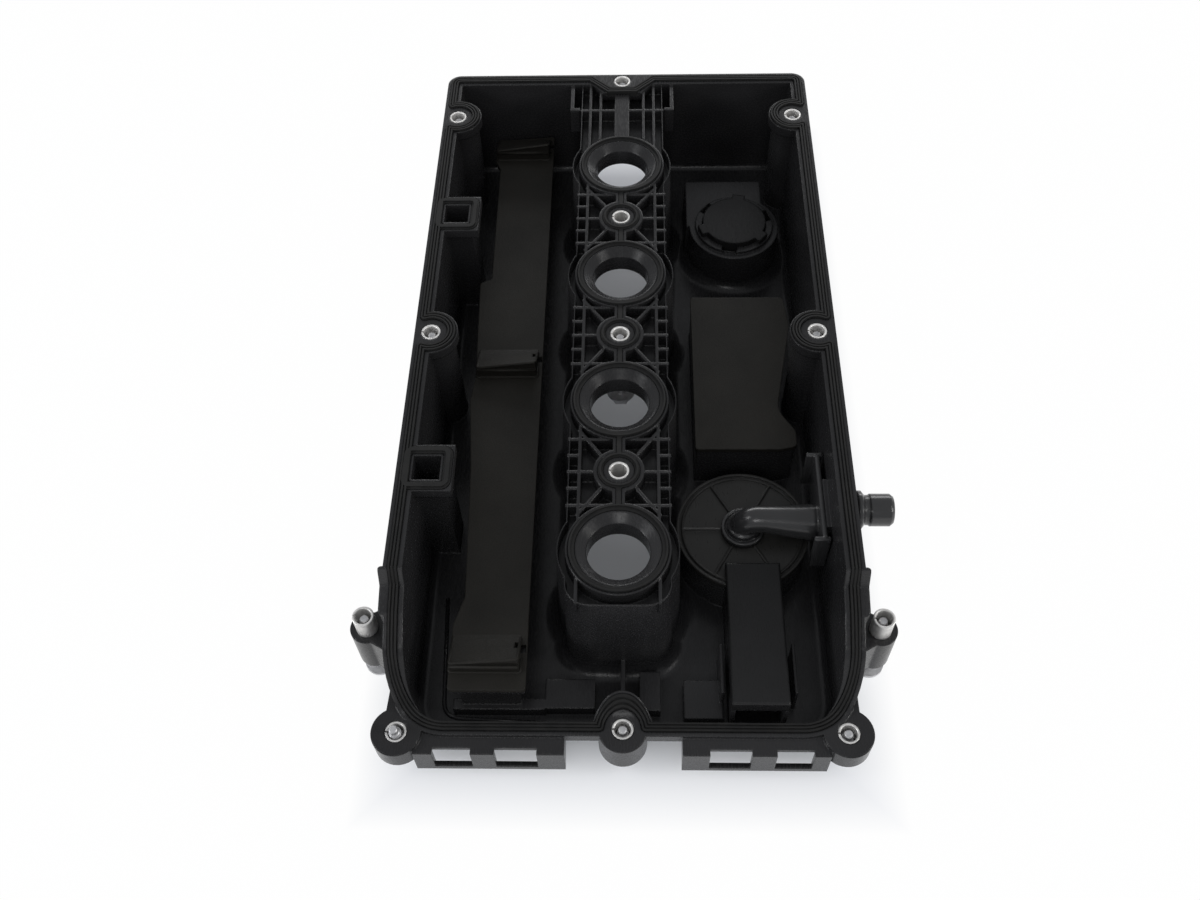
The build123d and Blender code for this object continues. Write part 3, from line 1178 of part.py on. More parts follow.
with BuildPart() as pcv_diaphragm:
    with BuildSketch(VALVE_SECTION):
        with BuildLine():
            Polyline(
                (0, -plate_foot),
                (12, -plate_foot),
                (16, -plate_foot - 0.8),
                (VALVE_POCKET_RADIUS - 2.4, -ROOF_DEPTH + 1.8),
                (VALVE_POCKET_RADIUS - 0.3, -ROOF_DEPTH + 1.8),
                (VALVE_POCKET_RADIUS - 0.3, -ROOF_DEPTH + 0.1),
                (VALVE_POCKET_RADIUS - 2.9, -ROOF_DEPTH + 0.1),
                (16, -diaphragm_foot - 0.8),
                (12, -diaphragm_foot),
                (0, -diaphragm_foot),
                close=True,
            )
        make_face()
    revolve(axis=VALVE_AXIS)
pcv_diaphragm.part.label = "pcv_diaphragm"
export_step(pcv_diaphragm.part, "parts/pcv_diaphragm.step")

with BuildPart() as pcv_valve_plate:
    with BuildSketch(level(plate_foot)):
        with Locations((VALVE_X, VALVE_Y)):
            Circle(VALVE_PLATE_RADIUS)
    extrude(amount=VALVE_PLATE_THICKNESS)
    with BuildSketch(level(VALVE_PLATE_DEPTH)):
        with Locations((VALVE_X, VALVE_Y)):
            Circle(VALVE_PORT_RADIUS + 0.8)
            Circle(VALVE_PORT_RADIUS - 1.2, mode=Mode.SUBTRACT)
    extrude(amount=1.4)
pcv_valve_plate.part.label = "pcv_valve_plate"
export_step(pcv_valve_plate.part, "parts/pcv_valve_plate.step")

spring_foot = VALVE_PLATE_DEPTH - SPRING_WIRE - 0.05
spring_top = pocket_top + SPRING_WIRE + 0.05
with BuildPart() as pcv_spring:
    with BuildLine():
        coil = Helix(
            pitch=(spring_foot - spring_top) / 3,
            height=spring_foot - spring_top,
            radius=SPRING_RADIUS,
            center=DATUM.from_local_coords((VALVE_X, VALVE_Y, -spring_foot)),
        )
    with BuildSketch(Plane(origin=coil @ 0, z_dir=coil % 0)):
        Circle(SPRING_WIRE)
    sweep(path=coil, is_frenet=True)
pcv_spring.part.label = "pcv_spring"
export_step(pcv_spring.part, "parts/pcv_spring.step")

# ---------------------------------------------------------------- oil filler cap
GRIP_TOP_DEPTH = 72.6
CAP_STEM_RADIUS = FILLER_BORE_RADIUS - 0.3
LUG_GAP = 0.2
LUG_HEIGHT = 3.0
with BuildPart() as oil_filler_cap:
    with BuildSketch(level(GASKET_HEIGHT)):
        with Locations((FILLER_X, FILLER_Y)):
            Circle(FILLER_CAP_RADIUS)
            with PolarLocations(FILLER_CAP_RADIUS + 2.2, 10):
                Circle(5.0, mode=Mode.SUBTRACT)
    extrude(amount=GASKET_HEIGHT - GRIP_TOP_DEPTH)
    fillet(oil_filler_cap.edges().group_by(Axis.Z)[0], 1.5)
    with BuildSketch(level(GASKET_HEIGHT - 2.6)):
        with Locations((FILLER_X, FILLER_Y)):
            Circle(FILLER_CAP_RADIUS - 5.4)
            Circle(FILLER_RIM_RADIUS + 1.0, mode=Mode.SUBTRACT)
    extrude(amount=GASKET_HEIGHT - GRIP_TOP_DEPTH, mode=Mode.SUBTRACT)
    with BuildSketch(level(GRIP_TOP_DEPTH)):
        with Locations((FILLER_X, FILLER_Y)):
            Circle(CAP_STEM_RADIUS)
    extrude(amount=GRIP_TOP_DEPTH - FILLER_RIM_DEPTH + LUG_GAP + LUG_HEIGHT)
    with BuildSketch(level(FILLER_RIM_DEPTH - LUG_GAP)):
        with Locations((FILLER_X, FILLER_Y)):
            with PolarLocations(CAP_STEM_RADIUS, FILLER_NOTCH_COUNT, start_angle=80):
                Rectangle(FILLER_NOTCH_SIZE[0] - 0.8, FILLER_NOTCH_SIZE[1] - 1.4)
    extrude(amount=LUG_HEIGHT)
    with BuildSketch(level(GASKET_HEIGHT - 4)):
        with Locations((FILLER_X, FILLER_Y)):
            Circle(CAP_STEM_RADIUS - 3)
    extrude(amount=GASKET_HEIGHT - 4 - FILLER_RIM_DEPTH, mode=Mode.SUBTRACT)
oil_filler_cap.part.label = "oil_filler_cap"
export_step(oil_filler_cap.part, "parts/oil_filler_cap.step")

with BuildPart() as filler_cap_seal:
    with BuildSketch(level(GRIP_TOP_DEPTH)):
        with Locations((FILLER_X, FILLER_Y)):
            Circle(FILLER_RIM_RADIUS)
            Circle(CAP_STEM_RADIUS + 0.1, mode=Mode.SUBTRACT)
    extrude(amount=GRIP_TOP_DEPTH - ROOF_DEPTH - 0.3)
filler_cap_seal.part.label = "filler_cap_seal"
export_step(filler_cap_seal.part, "parts/filler_cap_seal.step")
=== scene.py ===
"""Dress the engine valve cover's solids and set it in a plain studio.

The cover lies on its outer face with the open inner side up. The solids bring the main shapes.
This file adds the finishes, the rolled threads of the captive screws, the breather elbow's taper,
the lips of the oil scoops, a bead on the floor, the pressure valve's spring and the studio.
Lengths are in metres, in the frame of the solids.
"""

from __future__ import annotations

import json
import logging
from dataclasses import dataclass, field
from enum import Enum
from math import cos, pi, radians, sin

import bmesh
import bpy
import numpy as np
from mathutils import Matrix, Vector


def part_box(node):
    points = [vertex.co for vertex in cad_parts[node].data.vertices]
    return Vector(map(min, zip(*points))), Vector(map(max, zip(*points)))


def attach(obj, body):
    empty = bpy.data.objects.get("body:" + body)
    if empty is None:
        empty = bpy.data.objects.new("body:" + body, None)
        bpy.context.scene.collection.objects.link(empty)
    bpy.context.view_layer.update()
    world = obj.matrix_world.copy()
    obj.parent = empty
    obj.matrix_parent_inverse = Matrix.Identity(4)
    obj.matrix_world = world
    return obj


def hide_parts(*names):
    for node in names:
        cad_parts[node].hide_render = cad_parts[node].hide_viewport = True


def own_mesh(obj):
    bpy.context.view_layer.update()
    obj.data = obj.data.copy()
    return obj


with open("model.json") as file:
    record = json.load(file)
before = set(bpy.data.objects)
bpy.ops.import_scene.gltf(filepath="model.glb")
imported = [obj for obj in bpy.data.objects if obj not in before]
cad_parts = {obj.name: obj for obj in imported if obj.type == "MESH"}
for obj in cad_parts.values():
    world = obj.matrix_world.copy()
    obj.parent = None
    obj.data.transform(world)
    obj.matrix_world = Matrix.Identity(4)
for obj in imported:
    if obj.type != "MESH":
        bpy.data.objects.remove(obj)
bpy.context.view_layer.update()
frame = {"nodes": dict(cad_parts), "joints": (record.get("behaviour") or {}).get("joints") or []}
LOG = logging.getLogger("valve_cover")

Array = np.ndarray
Rgb = tuple[float, float, float]
Point = tuple[float, float, float]

WHITE: Rgb = (1.0, 1.0, 1.0)
UP: Point = (0.0, 0.0, 1.0)
WELD_REACH = 1e-6


class SteelMake(Enum):
    """How a steel piece was made, which sets the direction of its fine lines."""

    ROLLED_SLEEVE = "rolled sleeve"
    COLD_HEADED = "cold headed screw"
    DRAWN_WIRE = "drawn wire"


# ---------------------------------------------------------------- node helpers
@dataclass
class NodeDesk:
    """A node tree, of a material or a world, with short ways to add and wire its nodes."""

    material: bpy.types.Material | bpy.types.World
    count: int = 0

    @staticmethod
    def fresh(name: str) -> "NodeDesk":
        """Make an empty node material.

        Args:
            name: name of the material.

        Returns:
            The desk that holds the new material.
        """
        material = bpy.data.materials.new(name)
        material.use_nodes = True
        material.node_tree.nodes.clear()
        return NodeDesk(material)

    def add(self, kind: str, **sockets: object) -> bpy.types.Node:
        """Add a node and set its attributes or sockets by name.

        Args:
            kind: node type identifier.
            **sockets: attribute values, or socket values with spaces as underscores.

        Returns:
            The new node.
        """
        node = self.material.node_tree.nodes.new(kind)
        node.location = (220 * (self.count % 8), -260 * (self.count // 8))
        self.count += 1
        for key, value in sockets.items():
            if hasattr(node, key):
                setattr(node, key, value)
            else:
                node.inputs[key.replace("_", " ")].default_value = value
        return node

    def wire(self, source: bpy.types.NodeSocket, target: bpy.types.NodeSocket) -> None:
        """Join an output socket to an input socket."""
        self.material.node_tree.links.new(source, target)

    def coordinates(self, stretch: Point = (1.0, 1.0, 1.0)) -> bpy.types.NodeSocket:
        """Give object coordinates, stretched along each axis.

        Args:
            stretch: factor along X, Y and Z.

        Returns:
            The socket with the stretched coordinates.
        """
        source = self.add("ShaderNodeTexCoord")
        mapping = self.add("ShaderNodeMapping", Scale=stretch)
        self.wire(source.outputs["Object"], mapping.inputs["Vector"])
        return mapping.outputs["Vector"]

    def noise(self, where: bpy.types.NodeSocket, scale: float, detail: float = 3.0,
              roughness: float = 0.55) -> bpy.types.NodeSocket:
        """Add a noise field on the given coordinates.

        Args:
            where: coordinates to read.
            scale: cells per metre.
            detail: octaves.
            roughness: strength of the finer octaves.

        Returns:
            The socket with the field's value, 0 to 1.
        """
        node = self.add("ShaderNodeTexNoise", Scale=scale, Detail=detail, Roughness=roughness)
        self.wire(where, node.inputs["Vector"])
        return node.outputs["Fac"]

    def ramp(self, value: bpy.types.NodeSocket, low: Rgb, high: Rgb, start: float = 0.3,
             end: float = 0.7) -> bpy.types.NodeSocket:
        """Turn a value into a colour between two colours.

        Args:
            value: the value to read.
            low: colour at the start.
            high: colour at the end.
            start: value where the low colour ends.
            end: value where the high colour begins.

        Returns:
            The socket with the colour.
        """
        node = self.add("ShaderNodeValToRGB")
        stops = node.color_ramp.elements
        stops[0].position, stops[1].position = start, end
        stops[0].color, stops[1].color = (*low, 1.0), (*high, 1.0)
        self.wire(value, node.inputs["Fac"])
        return node.outputs["Color"]

    def span(self, value: bpy.types.NodeSocket, low: float, high: float, start: float = 0.3,
             end: float = 0.7) -> bpy.types.NodeSocket:
        """Spread a value over a new range.

        Args:
            value: the value to read.
            low: result at the start.
            high: result at the end.
            start: value that gives the low result.
            end: value that gives the high result.

        Returns:
            The socket with the new value.
        """
        node = self.add("ShaderNodeMapRange")
        for key, number in (("From Min", start), ("From Max", end), ("To Min", low), ("To Max", high)):
            node.inputs[key].default_value = number
        self.wire(value, node.inputs["Value"])
        return node.outputs["Result"]

    def sum_of(self, operation: str, first: bpy.types.NodeSocket,
               second: bpy.types.NodeSocket | float = 0.0) -> bpy.types.NodeSocket:
        """Do one sum on two values.

        Args:
            operation: the sum's name.
            first: first value.
            second: second value, a socket or a number.

        Returns:
            The socket with the result.
        """
        node = self.add("ShaderNodeMath", operation=operation)
        self.wire(first, node.inputs[0])
        if isinstance(second, bpy.types.NodeSocket):
            self.wire(second, node.inputs[1])
        else:
            node.inputs[1].default_value = second
        return node.outputs[0]

    def relief(self, heights: list[tuple[bpy.types.NodeSocket, float]], strength: float,
               round_edges: float) -> bpy.types.NodeSocket:
        """Stack bumps, each with its own depth, over softly rounded edges.

        Args:
            heights: height fields with their depth in metres.
            strength: how much of each bump shows.
            round_edges: radius of the rounded edges in metres.

        Returns:
            The socket with the surface normal.
        """
        normal = self.add("ShaderNodeBevel", samples=6, Radius=round_edges).outputs["Normal"]
        for height, depth in heights:
            bump = self.add("ShaderNodeBump", Strength=strength, Distance=depth)
            self.wire(height, bump.inputs["Height"])
            self.wire(normal, bump.inputs["Normal"])
            normal = bump.outputs["Normal"]
        return normal

    def close(self, **sockets: object) -> bpy.types.Material:
        """Finish the material with one surface shader.

        Args:
            **sockets: socket names with underscores for spaces; sockets are wired, numbers are set.

        Returns:
            The finished material.
        """
        shader = self.add("ShaderNodeBsdfPrincipled")
        for key, value in sockets.items():
            target = shader.inputs[key.replace("_", " ")]
            if isinstance(value, bpy.types.NodeSocket):
                self.wire(value, target)
            else:
                target.default_value = value
        output = self.add("ShaderNodeOutputMaterial")
        self.wire(shader.outputs["BSDF"], output.inputs["Surface"])
        return self.material


# ---------------------------------------------------------------- finishes
@dataclass(frozen=True)
class MouldedNylon:
    """Glass-filled nylon from a spark-eroded mould: near black, with fibre mottle and a soft sheen."""

    name: str = "moulded_nylon"
    dark: Rgb = (0.0145, 0.0143, 0.0150)
    light: Rgb = (0.0240, 0.0238, 0.0250)
    rough_low: float = 0.20
    rough_high: float = 0.33
    shine: float = 0.30
    flow: Point = (1.0, 0.25, 1.0)
    cloud_scale: float = 14.0
    fibre_scale: float = 900.0
    grit_scale: float = 2600.0
    grain: float = 0.00005
    cloud_depth: float = 4.0
    bump: float = 0.35
    edge: float = 0.0013

    def make(self) -> bpy.types.Material:
        """Build the material.

        Returns:
            The material.
        """
        desk = NodeDesk.fresh(self.name)
        here = desk.coordinates()
        cloud = desk.noise(here, self.cloud_scale, detail=4.0)
        fibres = desk.noise(desk.coordinates(self.flow), self.fibre_scale, detail=2.0)
        grit = desk.noise(here, self.grit_scale, detail=2.0, roughness=0.6)
        tint = desk.ramp(cloud, self.dark, self.light, start=0.35, end=0.68)
        rough = desk.span(fibres, self.rough_low, self.rough_high)
        layers = [(grit, self.grain), (cloud, self.grain * self.cloud_depth)]
        normal = desk.relief(layers, self.bump, self.edge)
        return desk.close(Base_Color=tint, Roughness=rough, Specular_IOR_Level=self.shine, Normal=normal)


@dataclass(frozen=True)
class BafflePlastic:
    """Matt dark grey plastic of the separator plates, warmer and drier than the moulding."""

    name: str = "baffle_plastic"
    dark: Rgb = (0.0088, 0.0081, 0.0066)
    light: Rgb = (0.0170, 0.0156, 0.0128)
    rough_low: float = 0.52
    rough_high: float = 0.72
    shine: float = 0.22
    cloud_scale: float = 22.0
    speck_scale: float = 1500.0
    speck_depth: float = 0.00022
    cloud_depth: float = 0.0004
    bump: float = 0.5
    edge: float = 0.0008

    def make(self) -> bpy.types.Material:
        """Build the material.

        Returns:
            The material.
        """
        desk = NodeDesk.fresh(self.name)
        here = desk.coordinates()
        cloud = desk.noise(here, self.cloud_scale, detail=5.0, roughness=0.6)
        speck = desk.noise(here, self.speck_scale, detail=2.0, roughness=0.7)
        tint = desk.ramp(cloud, self.dark, self.light, end=0.72)
        rough = desk.span(speck, self.rough_low, self.rough_high)
        layers = [(speck, self.speck_depth), (cloud, self.cloud_depth)]
        normal = desk.relief(layers, self.bump, self.edge)
        return desk.close(Base_Color=tint, Roughness=rough, Specular_IOR_Level=self.shine, Normal=normal)


@dataclass(frozen=True)
class SealRubber:
    """Matt black sealing rubber with a faint bloom."""

    name: str = "seal_rubber"
    dark: Rgb = (0.0080, 0.0080, 0.0080)
    bloom: Rgb = (0.0170, 0.0166, 0.0160)
    rough_low: float = 0.55
    rough_high: float = 0.78
    shine: float = 0.26
    dust_scale: float = 90.0
    skin_scale: float = 1800.0
    skin_depth: float = 0.00005
    bump: float = 0.4
    edge: float = 0.0003

    def make(self) -> bpy.types.Material:
        """Build the material.

        Returns:
            The material.
        """
        desk = NodeDesk.fresh(self.name)
        here = desk.coordinates()
        dust = desk.noise(here, self.dust_scale, detail=6.0, roughness=0.65)
        skin = desk.noise(here, self.skin_scale, detail=2.0)
        tint = desk.ramp(dust, self.dark, self.bloom, start=0.42, end=0.75)
        rough = desk.span(dust, self.rough_low, self.rough_high)
        normal = desk.relief([(skin, self.skin_depth)], self.bump, self.edge)
        return desk.close(Base_Color=tint, Roughness=rough, Specular_IOR_Level=self.shine, Normal=normal)


@dataclass(frozen=True)
class FineSteel:
    """Bare or zinc-flaked steel, with fine lines that follow the way it was made."""

    make_way: SteelMake
    tone: Rgb
    dull: Rgb
    rough_low: float
    rough_high: float
    metal: float = 1.0
    line_scale: float = 700.0
    stain_scale: float = 260.0
    line_depth: float = 0.00003
    bump: float = 0.35
    edge: float = 0.00025

    def make(self) -> bpy.types.Material:
        """Build the material.

        Returns:
            The material.
        """
        desk = NodeDesk.fresh(self.make_way.value.replace(" ", "_"))
        stretch = (6.0, 6.0, 0.4) if self.make_way is SteelMake.ROLLED_SLEEVE else (1.0, 1.0, 4.0)
        lines = desk.noise(desk.coordinates(stretch), self.line_scale)
        stain = desk.noise(desk.coordinates(), self.stain_scale, detail=5.0, roughness=0.6)
        tint = desk.ramp(stain, self.dull, self.tone, end=0.6)
        rough = desk.span(lines, self.rough_low, self.rough_high)
        normal = desk.relief([(lines, self.line_depth)], self.bump, self.edge)
        return desk.close(Base_Color=tint, Metallic=self.metal, Roughness=rough, Normal=normal)


@dataclass(frozen=True)
class PaleFloor:
    """White floor, bright in the open, with a painted shadow under the cover that reaches a little further
    out behind it.
    """

    shade: Rgb = (0.80, 0.81, 0.85)
    # bluish tone of the floor's glow inside the painted shadow
    painted_shadow_tone: Rgb = (0.93, 0.96, 1.0)
    half_width: float = 0.113
    half_length: float = 0.226
    # middle and half sizes of the painted shadow's outline, set a little behind the cover's middle
    middle: Point = (0.0, 0.010, 0.0)
    fade_in: float = 0.030
    fade_out: float = 0.020
    # share of white glow left inside the painted shadow under the cover
    painted_shadow_glow: float = 0.10
    glow_open: float = 0.985

    def make(self) -> bpy.types.Material:
        """Build the material.

        The glow is a share of plain white that eye, gloss and glass see. It depends on the greater of
        |x| - half width and |y| - half length, and so on how far a point lies outside the cover's
        outline. Inside that outline it falls to a small share in a bluish tone, which paints a shadow on the
        floor.

        Returns:
            The material.
        """
        desk = NodeDesk.fresh("pale_floor_painted_shadow")
        place = desk.add("ShaderNodeTexCoord")
        centred = desk.add("ShaderNodeVectorMath", operation="SUBTRACT")
        centred.inputs[1].default_value = self.middle
        desk.wire(place.outputs["Object"], centred.inputs[0])
        parts = desk.add("ShaderNodeSeparateXYZ")
        desk.wire(centred.outputs[0], parts.inputs[0])
        gaps = [desk.sum_of("SUBTRACT", desk.sum_of("ABSOLUTE", parts.outputs[axis]), half)
                for axis, half in (("X", self.half_width), ("Y", self.half_length))]
        outside = desk.sum_of("MAXIMUM", *gaps)
        # painted shadow: the glow falls from the open floor's share to a low share under and behind the cover
        glow = desk.span(outside, self.painted_shadow_glow, self.glow_open, -self.fade_in, self.fade_out)
        tone = desk.ramp(glow, self.painted_shadow_tone, WHITE, self.painted_shadow_glow, self.glow_open)
        rays = desk.add("ShaderNodeLightPath")
        seen = desk.sum_of("MAXIMUM", rays.outputs["Is Camera Ray"], rays.outputs["Is Glossy Ray"])
        seen = desk.sum_of("MAXIMUM", seen, rays.outputs["Is Transmission Ray"])
        share = desk.sum_of("MULTIPLY", seen, glow)
        paint = desk.add("ShaderNodeBsdfDiffuse", Color=(*self.shade, 1.0))
        light = desk.add("ShaderNodeEmission", Strength=1.0)
        desk.wire(tone, light.inputs["Color"])
        blend = desk.add("ShaderNodeMixShader")
        desk.wire(share, blend.inputs[0])
        desk.wire(paint.outputs[0], blend.inputs[1])
        desk.wire(light.outputs[0], blend.inputs[2])
        output = desk.add("ShaderNodeOutputMaterial")
        desk.wire(blend.outputs[0], output.inputs["Surface"])
        return desk.material


@dataclass
class PaintShelf:
    """Every finish of the cover, made once and shared."""

    nylon: bpy.types.Material = field(default_factory=lambda: MouldedNylon().make())
    trim: bpy.types.Material = field(default_factory=lambda: MouldedNylon(
        name="trim_nylon", dark=(0.0090, 0.0090, 0.0094), light=(0.0150, 0.0150, 0.0155),
        rough_low=0.24, rough_high=0.36, shine=0.20).make())
    pipe: bpy.types.Material = field(default_factory=lambda: MouldedNylon(
        name="pipe_nylon", dark=(0.019, 0.019, 0.020), light=(0.032, 0.032, 0.033),
        rough_low=0.17, rough_high=0.27, shine=0.60, grain=0.00001).make())
    disc: bpy.types.Material = field(default_factory=lambda: MouldedNylon(
        name="valve_cover_plastic", dark=(0.0120, 0.0117, 0.0110), light=(0.0215, 0.0210, 0.0198),
        rough_low=0.26, rough_high=0.40).make())
    baffle: bpy.types.Material = field(default_factory=lambda: BafflePlastic().make())
    rubber: bpy.types.Material = field(default_factory=lambda: SealRubber().make())
    sleeve: bpy.types.Material = field(default_factory=lambda: FineSteel(
        SteelMake.ROLLED_SLEEVE, tone=(0.80, 0.79, 0.77), dull=(0.62, 0.61, 0.60),
        rough_low=0.42, rough_high=0.62, metal=0.80).make())
    screw: bpy.types.Material = field(default_factory=lambda: FineSteel(
        SteelMake.COLD_HEADED, tone=(0.68, 0.68, 0.69), dull=(0.48, 0.48, 0.49),
        rough_low=0.40, rough_high=0.60, metal=0.85).make())
    spring: bpy.types.Material = field(default_factory=lambda: FineSteel(
        SteelMake.DRAWN_WIRE, tone=(0.62, 0.62, 0.63), dull=(0.45, 0.45, 0.46),
        rough_low=0.20, rough_high=0.40).make())


def dress(material: bpy.types.Material, *nodes: str) -> None:
    """Give solids their finish.

    Args:
        material: the finish.
        *nodes: names of the solids.
    """
    for name in nodes:
        solid = frame["nodes"][name]
        solid.data.materials.clear()
        solid.data.materials.append(material)


def grid_piece(name: str, points: Array, wrap: bool, material: bpy.types.Material) -> bpy.types.Object:
    """Put a grid of points into a mesh.

    Rows run along the piece and columns run across it. Every cell between four neighbouring
    points is one face, and the columns close on themselves when the grid wraps.

    Args:
        name: name of the piece.
        points: rows by columns by 3.
        wrap: whether the last column joins the first.
        material: its finish.

    Returns:
        The new object.
    """
    rows, columns = points.shape[:2]
    across = np.arange(columns if wrap else columns - 1)
    along = np.arange(rows - 1)[:, None] * columns
    after = (across + 1) % columns
    corners = [along + across, along + after, along + columns + after, along + columns + across]
    faces = np.stack(corners, axis=-1)
    mesh = bpy.data.meshes.new(name)
    mesh.from_pydata(points.reshape(-1, 3).tolist(), [], faces.reshape(-1, 4).tolist())
    mesh.polygons.foreach_set("use_smooth", np.ones(len(mesh.polygons), dtype=bool))
    mesh.materials.append(material)
    piece = bpy.data.objects.new(name, mesh)
    bpy.context.scene.collection.objects.link(piece)
    return piece


def weld_poles(piece: bpy.types.Object) -> None:
    """Merge points that fall together where a grid closes to a point, and turn its faces outwards.

    Args:
        piece: the piece to close.
    """
    shape = bmesh.new()
    shape.from_mesh(piece.data)
    bmesh.ops.remove_doubles(shape, verts=shape.verts, dist=WELD_REACH)
    bmesh.ops.recalc_face_normals(shape, faces=shape.faces)
    shape.to_mesh(piece.data)
    shape.free()


def round_corners(corners: list[Point], reach: float, steps: int = 8) -> Array:
    """Round the inner corners of a broken line.

    At a corner C with A and B at the reach before and behind it, the line follows
    (1 - t)^2 A + 2 t (1 - t) C + t^2 B, with t from 0 to 1.

    Args:
        corners: the line's corners.
        reach: distance from each corner at which the rounding starts.
        steps: number of points in each rounding.

    Returns:
        Points by 3.
    """
    line = np.array(corners, dtype=float)
    t = np.linspace(0.0, 1.0, steps)[:, None]
    pieces = [line[:1]]
    for before, corner, behind in zip(line[:-2], line[1:-1], line[2:]):
        start = corner + (before - corner) * reach / np.linalg.norm(before - corner)
        end = corner + (behind - corner) * reach / np.linalg.norm(behind - corner)
        pieces.append((1 - t) ** 2 * start + 2 * t * (1 - t) * corner + t ** 2 * end)
    pieces.append(line[-1:])
    return np.concatenate(pieces)


def tube(path: Array, radii: Array | float, up: Point, columns: int) -> Array:
    """Sweep a circle along a path, closed to a point at both ends.

    With T the path's direction, S the unit of T x up and N = S x T, the surface is
    P + r (S cos a + N sin a), with a going once round.

    Args:
        path: points by 3.
        radii: radius at each point, or one for all.
        up: a direction that the path never follows.
        columns: points round the circle.

    Returns:
        Rows along the path by columns by 3.
    """
    heading = np.gradient(path, axis=0)
    heading /= np.linalg.norm(heading, axis=1, keepdims=True)
    side = np.cross(heading, np.array(up))
    side /= np.linalg.norm(side, axis=1, keepdims=True)
    crown = np.cross(side, heading)
    angle = np.linspace(0, 2 * pi, columns, endpoint=False)[None, :, None]
    radius = np.broadcast_to(np.asarray(radii, dtype=float), (len(path),))
    radius = np.concatenate([[0.0], radius, [0.0]])[:, None, None]
    path, side, crown = (np.concatenate([a[:1], a, a[-1:]])[:, None, :] for a in (path, side, crown))
    return path + radius * (side * np.cos(angle) + crown * np.sin(angle))


def turned(foot: Point, profile: Array, columns: int = 72) -> Array:
    """Turn a profile round the upright line through a foot point.

    The surface is foot + (r cos a, r sin a, h) for each profile point (r, h).

    Args:
        foot: the point that heights start from.
        profile: points by 2, radius and height, from one end on the axis to the other.
        columns: points round the axis.

    Returns:
        Rows along the profile by columns by 3.
    """
    angle = np.linspace(0, 2 * pi, columns, endpoint=False)[None, :]
    radius, height = profile[:, :1], profile[:, 1:]
    ring = np.stack([radius * np.cos(angle), radius * np.sin(angle), height + 0 * angle], axis=-1)
    return np.array(foot) + ring


def soft_box(low: Point, high: Point, rounding: float, steps: int = 4) -> Array:
    """Make a box whose edges are rounded along every side.

    Each layer is the box's plan, drawn in at the bottom and the top by a quarter circle, and
    each plan corner is a quarter circle too; the first and last layers close to a point.

    Args:
        low: lowest corner.
        high: highest corner.
        rounding: radius of the edges.
        steps: points in each quarter circle.

    Returns:
        Layers by points round the plan by 3.
    """
    middle = (np.array(low, dtype=float) + np.array(high, dtype=float)) / 2
    half = (np.array(high, dtype=float) - np.array(low, dtype=float)) / 2
    turn = np.linspace(0, pi / 2, steps)
    quarters = np.concatenate([turn + quarter * pi / 2 for quarter in range(4)])
    corner_x = np.repeat([1.0, -1.0, -1.0, 1.0], steps) * (half[0] - rounding)
    corner_y = np.repeat([1.0, 1.0, -1.0, -1.0], steps) * (half[1] - rounding)
    tilt = np.concatenate([turn - pi / 2, turn])
    height = np.repeat([-1.0, 1.0], steps) * (half[2] - rounding) + rounding * np.sin(tilt)
    spread = rounding * np.cos(tilt)[:, None]
    plan_x = corner_x + spread * np.cos(quarters)
    plan_y = corner_y + spread * np.sin(quarters)
    layers = np.stack([plan_x, plan_y, height[:, None] + 0 * plan_x], axis=-1)
    poles = [np.broadcast_to([0.0, 0.0, sign * half[2]], layers[:1].shape) for sign in (-1, 1)]
    return middle + np.concatenate([poles[0], layers, poles[1]])


def joined_piece(name: str, grids: list[Array], material: bpy.types.Material) -> bpy.types.Object:
    """Make one piece of several closed grids.

    Args:
        name: name of the piece.
        grids: the grids, each closed across its columns and to a point at both ends.
        material: its finish.

    Returns:
        The new object.
    """
    piece = grid_piece(name, grids[0], True, material)
    whole = bmesh.new()
    whole.from_mesh(piece.data)
    for number, grid in enumerate(grids[1:]):
        part = grid_piece(f"{name}_{number}", grid, True, material)
        mesh = part.data
        whole.from_mesh(mesh)
        bpy.data.objects.remove(part)
        bpy.data.meshes.remove(mesh)
    whole.to_mesh(piece.data)
    whole.free()
    weld_poles(piece)
    return piece


# ---------------------------------------------------------------- sub-assemblies
@dataclass
class CoverMoulding:
    """The one-piece moulding and the plastic parts set into it."""

    shelf: PaintShelf
    body: str = "cover_body"
    spigot: str = "hose_nozzle"
    disc: str = "breather_cover"
    trim: tuple[str, ...] = ("drain_cover", "pcv_cap", "pcv_valve_plate")
    plates: tuple[str, ...] = ("left_baffle", "right_baffle")

    def dress(self) -> None:
        """Finish the moulding, the parts set into it and both separator plates."""
        dress(self.shelf.nylon, self.body)
        dress(self.shelf.trim, *self.trim)
        dress(self.shelf.pipe, self.spigot)
        dress(self.shelf.disc, self.disc)
        dress(self.shelf.baffle, *self.plates)


